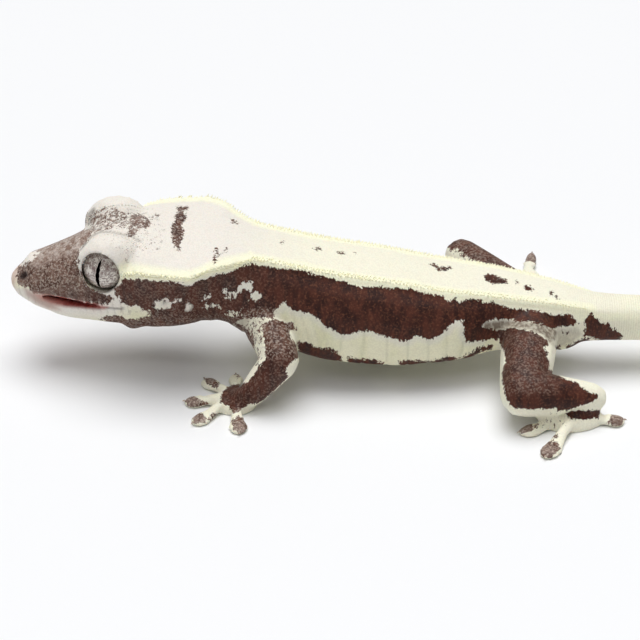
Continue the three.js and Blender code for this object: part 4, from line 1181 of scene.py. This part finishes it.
def drawn_out(name, sides, radius, steps):
    """A small horn: a disc drawn out step by step, each step [rise, lean, width left]."""
    bpy.ops.object.select_all(action="DESELECT")
    bpy.ops.mesh.primitive_circle_add(vertices=sides, radius=radius, fill_type="NGON")
    horn = bpy.context.active_object
    horn.name = name
    edit_whole(horn)
    bpy.ops.mesh.flip_normals()
    for rise, lean, left in steps:
        bpy.ops.mesh.extrude_region_move(TRANSFORM_OT_translate={"value": (lean, 0, rise)})
        bpy.ops.transform.resize(value=(left, left, 1))
    bpy.ops.mesh.select_all(action="SELECT")
    bpy.ops.mesh.normals_make_consistent(inside=False)
    bpy.ops.object.mode_set(mode="OBJECT")
    points = coordinates(horn.data)
    faces = [list(f.vertices) for f in horn.data.polygons]
    bpy.data.objects.remove(horn)
    return points, faces


def body_unwrap(point):
    """The place of a point on the skin, opened out flat: along the spine, and round it."""
    spot = in_millimetres(point)
    nearest = int(((spine_line - spot) ** 2).sum(1).argmin())
    away = spot - spine_line[nearest]
    return 0.05 + 0.9 * nearest / len(spine_line), 0.5 + math.atan2(away[1], away[2]) / (2 * math.pi) * 0.95


def planted(name, horn, roots):
    """One mesh of copies of a horn, one at each root: [place, outward, lean towards, size]."""
    points, faces = horn
    patch = 0.0015 * points[:, :2] / np.abs(points[:, :2]).max()
    corners, polygons, patches = [], [], []
    for where, outward, towards, size in roots:
        out = Vector(outward).normalized()
        lean = Vector(towards) - out * Vector(towards).dot(out)
        lean.normalize()
        axes = np.array([lean, out.cross(lean), out])
        start = len(corners)
        corners += ((points * size) @ axes / 1000.0 + np.array(where)).tolist()
        polygons += [[start + i for i in face] for face in faces]
        unwrapped = (patch + np.array(body_unwrap(where))).tolist()
        patches += [unwrapped[i] for face in faces for i in face]
    mesh = bpy.data.meshes.new(name)
    mesh.from_pydata(corners, [], polygons)
    mesh.update()
    layer = mesh.uv_layers.new(name="OFBake")
    layer.data.foreach_set("uv", np.array(patches, np.float32).ravel())
    piece = bpy.data.objects.new(name, mesh)
    bpy.context.scene.collection.objects.link(piece)
    only(piece)
    bpy.ops.object.shade_smooth_by_angle(angle=math.radians(50))
    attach(piece, "root")
    return piece


def uneven(middle, spread):
    """A share that differs from scale to scale."""
    return middle - spread / 2 + spread * random.random()


# The rows of the crest: how far each is shifted up the crest's edge, and its scales' size
CREST_ROWS = ((0.0, 1.0), (0.33, 0.62), (-0.3, 0.8), (-0.58, 0.9), (-0.86, 0.8))


def crest_roots(route, side):
    """Spines along one line of the crest, in rows, smaller towards the tail."""
    route = np.array(route)
    runs = np.concatenate([[0], np.cumsum(np.linalg.norm(np.diff(route, axis=0), axis=1))])

    def at(travelled):
        return np.array([np.interp(travelled, runs, route[:, k]) for k in range(3)])

    roots = []
    travelled = 0.3
    while travelled < runs[-1] - 0.5:
        back = Vector(at(travelled + 0.5)) - Vector(at(travelled))
        for row, (shift, size) in enumerate(CREST_ROWS):
            wobble = random.normal(0, 0.06, 3)
            target = place(at(travelled) + wobble + np.array((0.2 * (row % 3), side * shift * 0.75, shift)))
            spot, normal, _, _ = skin_tree.find_nearest(target)
            outward = normal * 0.75 + Vector((0.25, side * 0.55, 0.45 - 0.6 * min(shift, 0)))
            grown = 0.9 * size * uneven(1.0, 0.3) * (1.15 - 0.45 * travelled / runs[-1])
            roots.append((spot - normal * 1.2 * ROOT_DEPTH, outward, back, grown))
        travelled += CREST_STEP * uneven(1.0, 0.3)
    return roots


def lid_roots(side, ring, count, size):
    """Scales round the opening of the lids, longest over the front and the top."""
    middle, look, ahead, tall = eye_axes(side)
    roots = []
    for i in range(count):
        turn = 2 * math.pi * (i + 0.5 * ring + 0.2 * random.random()) / count
        opening = math.asin(LID_WIDE / EYE_RADIUS) * abs(math.cos(turn)) ** 2
        opening += math.asin(LID_TALL / EYE_RADIUS) * abs(math.sin(turn)) ** 2
        angle = opening + 0.08 + 0.12 * ring
        spoke = ahead * math.cos(turn) + tall * math.sin(turn)
        way = look * math.cos(angle) + spoke * math.sin(angle)
        hit, normal, _, _ = skin_tree.find_nearest(middle + way * (EYE_RADIUS + 0.7) / 1000)
        front = max(0.0, math.cos(turn - 0.9))
        grown = size * (0.75 + 1.75 * front**3) * uneven(1.0, 0.3)
        roots.append((hit - normal * ROOT_DEPTH, normal * 0.7 + way * 0.4, spoke, grown))
    return roots


def brow_roots(side, lift, count, size):
    """A row of pointed scales over the brow, from the front of the eye to its back."""
    middle, look, ahead, tall = eye_axes(side)
    roots = []
    for i in range(count):
        turn = math.radians(20 + 140 * (i + 0.3 * random.random()) / count)
        angle = math.radians(66) + lift
        way = look * math.cos(angle) + (ahead * math.cos(turn) + tall * math.sin(turn)) * math.sin(angle)
        hit, normal, _, _ = skin_tree.ray_cast(middle + way * 0.009, -way)
        if hit is None or (hit - middle).length < EYE_RADIUS / 1000:
            continue
        roots.append((hit - normal * ROOT_DEPTH, normal + tall * 0.3, head_back, size * uneven(1.0, 0.4)))
    return roots


def claw_roots():
    """One claw at the tip of each toe, just above the floor."""
    roots = []
    for sole, toes in FEET.values():
        for tip in toes:
            way = Vector((tip[0] - sole[0], tip[1] - sole[1], 0)).normalized()
            root = place(Vector((tip[0], tip[1], 0.85)) - way * 0.15)
            roots.append((root, way + Vector((0, 0, -0.1)), Vector((0, 0, -1)), 0.6))
    return roots


def horn_finish(name, first, second, scale, glow=0.35):
    horn = Finish(name)
    cloud = horn.cloud(scale)
    horn.wire(horn.blend(horn.ramp(cloud, 0.35, 0.65), first, second), horn.shader.inputs["Base Color"])
    horn.wire(horn.ramp(cloud, 0.3, 0.7, 0.4, 0.6), horn.shader.inputs["Roughness"])
    horn.shader.inputs["Subsurface Weight"].default_value = glow
    horn.shader.inputs["Subsurface Radius"].default_value = (1.0, 0.6, 0.4)
    horn.shader.inputs["Subsurface Scale"].default_value = 0.0005
    return horn.material


spine_steps = [(0.16, 0.0, 0.82), (0.2, 0.03, 0.68), (0.2, 0.07, 0.42), (0.12, 0.05, 0.35)]
spine_horn = drawn_out("crest_spine", 6, 0.25, spine_steps)
crest = planted("crest_spines", spine_horn, crest_roots(CREST_LEFT, -1) + crest_roots(CREST_RIGHT, 1))
crest.data.materials.append(horn_finish("crest_cream", shade(255, 253, 230), shade(252, 248, 214), 900, 0.0))

lid_horn = drawn_out("lid_scale", 6, 0.17, [(0.1, 0.0, 0.9), (0.1, 0.04, 0.7), (0.08, 0.05, 0.4)])
lids = []
for side in (-1, 1):
    lids += lid_roots(side, 0, 58, 0.85) + lid_roots(side, 1, 50, 0.8)
    lids += brow_roots(side, 0.34, 30, 0.95) + brow_roots(side, 0.46, 26, 0.7)
lid_scales = planted("lid_scales", lid_horn, lids)
lid_scales.data.materials.append(horn_finish("lid_cream", shade(246, 241, 230), shade(232, 224, 210), 1400))

claw_steps = [(0.25, 0.02, 0.92), (0.25, 0.05, 0.82), (0.22, 0.09, 0.7), (0.18, 0.12, 0.5), (0.1, 0.1, 0.3)]
claws = planted("claws", drawn_out("claw", 8, 0.23, claw_steps), claw_roots())
claws.data.materials.append(horn_finish("claw_horn", shade(150, 132, 118), shade(196, 182, 166), 1600))

# Tongue: its own solid, in a wet finish
wet = Finish("wet_tongue")
cloud = wet.cloud(1800)
wet.wire(wet.blend(cloud, shade(178, 72, 66), shade(216, 116, 108)), wet.shader.inputs["Base Color"])
wet.shader.inputs["Roughness"].default_value = 0.28
wet.bump(cloud, 1.0, 0.00008)
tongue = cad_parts["tongue"]
tongue.data.materials.clear()
tongue.data.materials.append(wet.material)
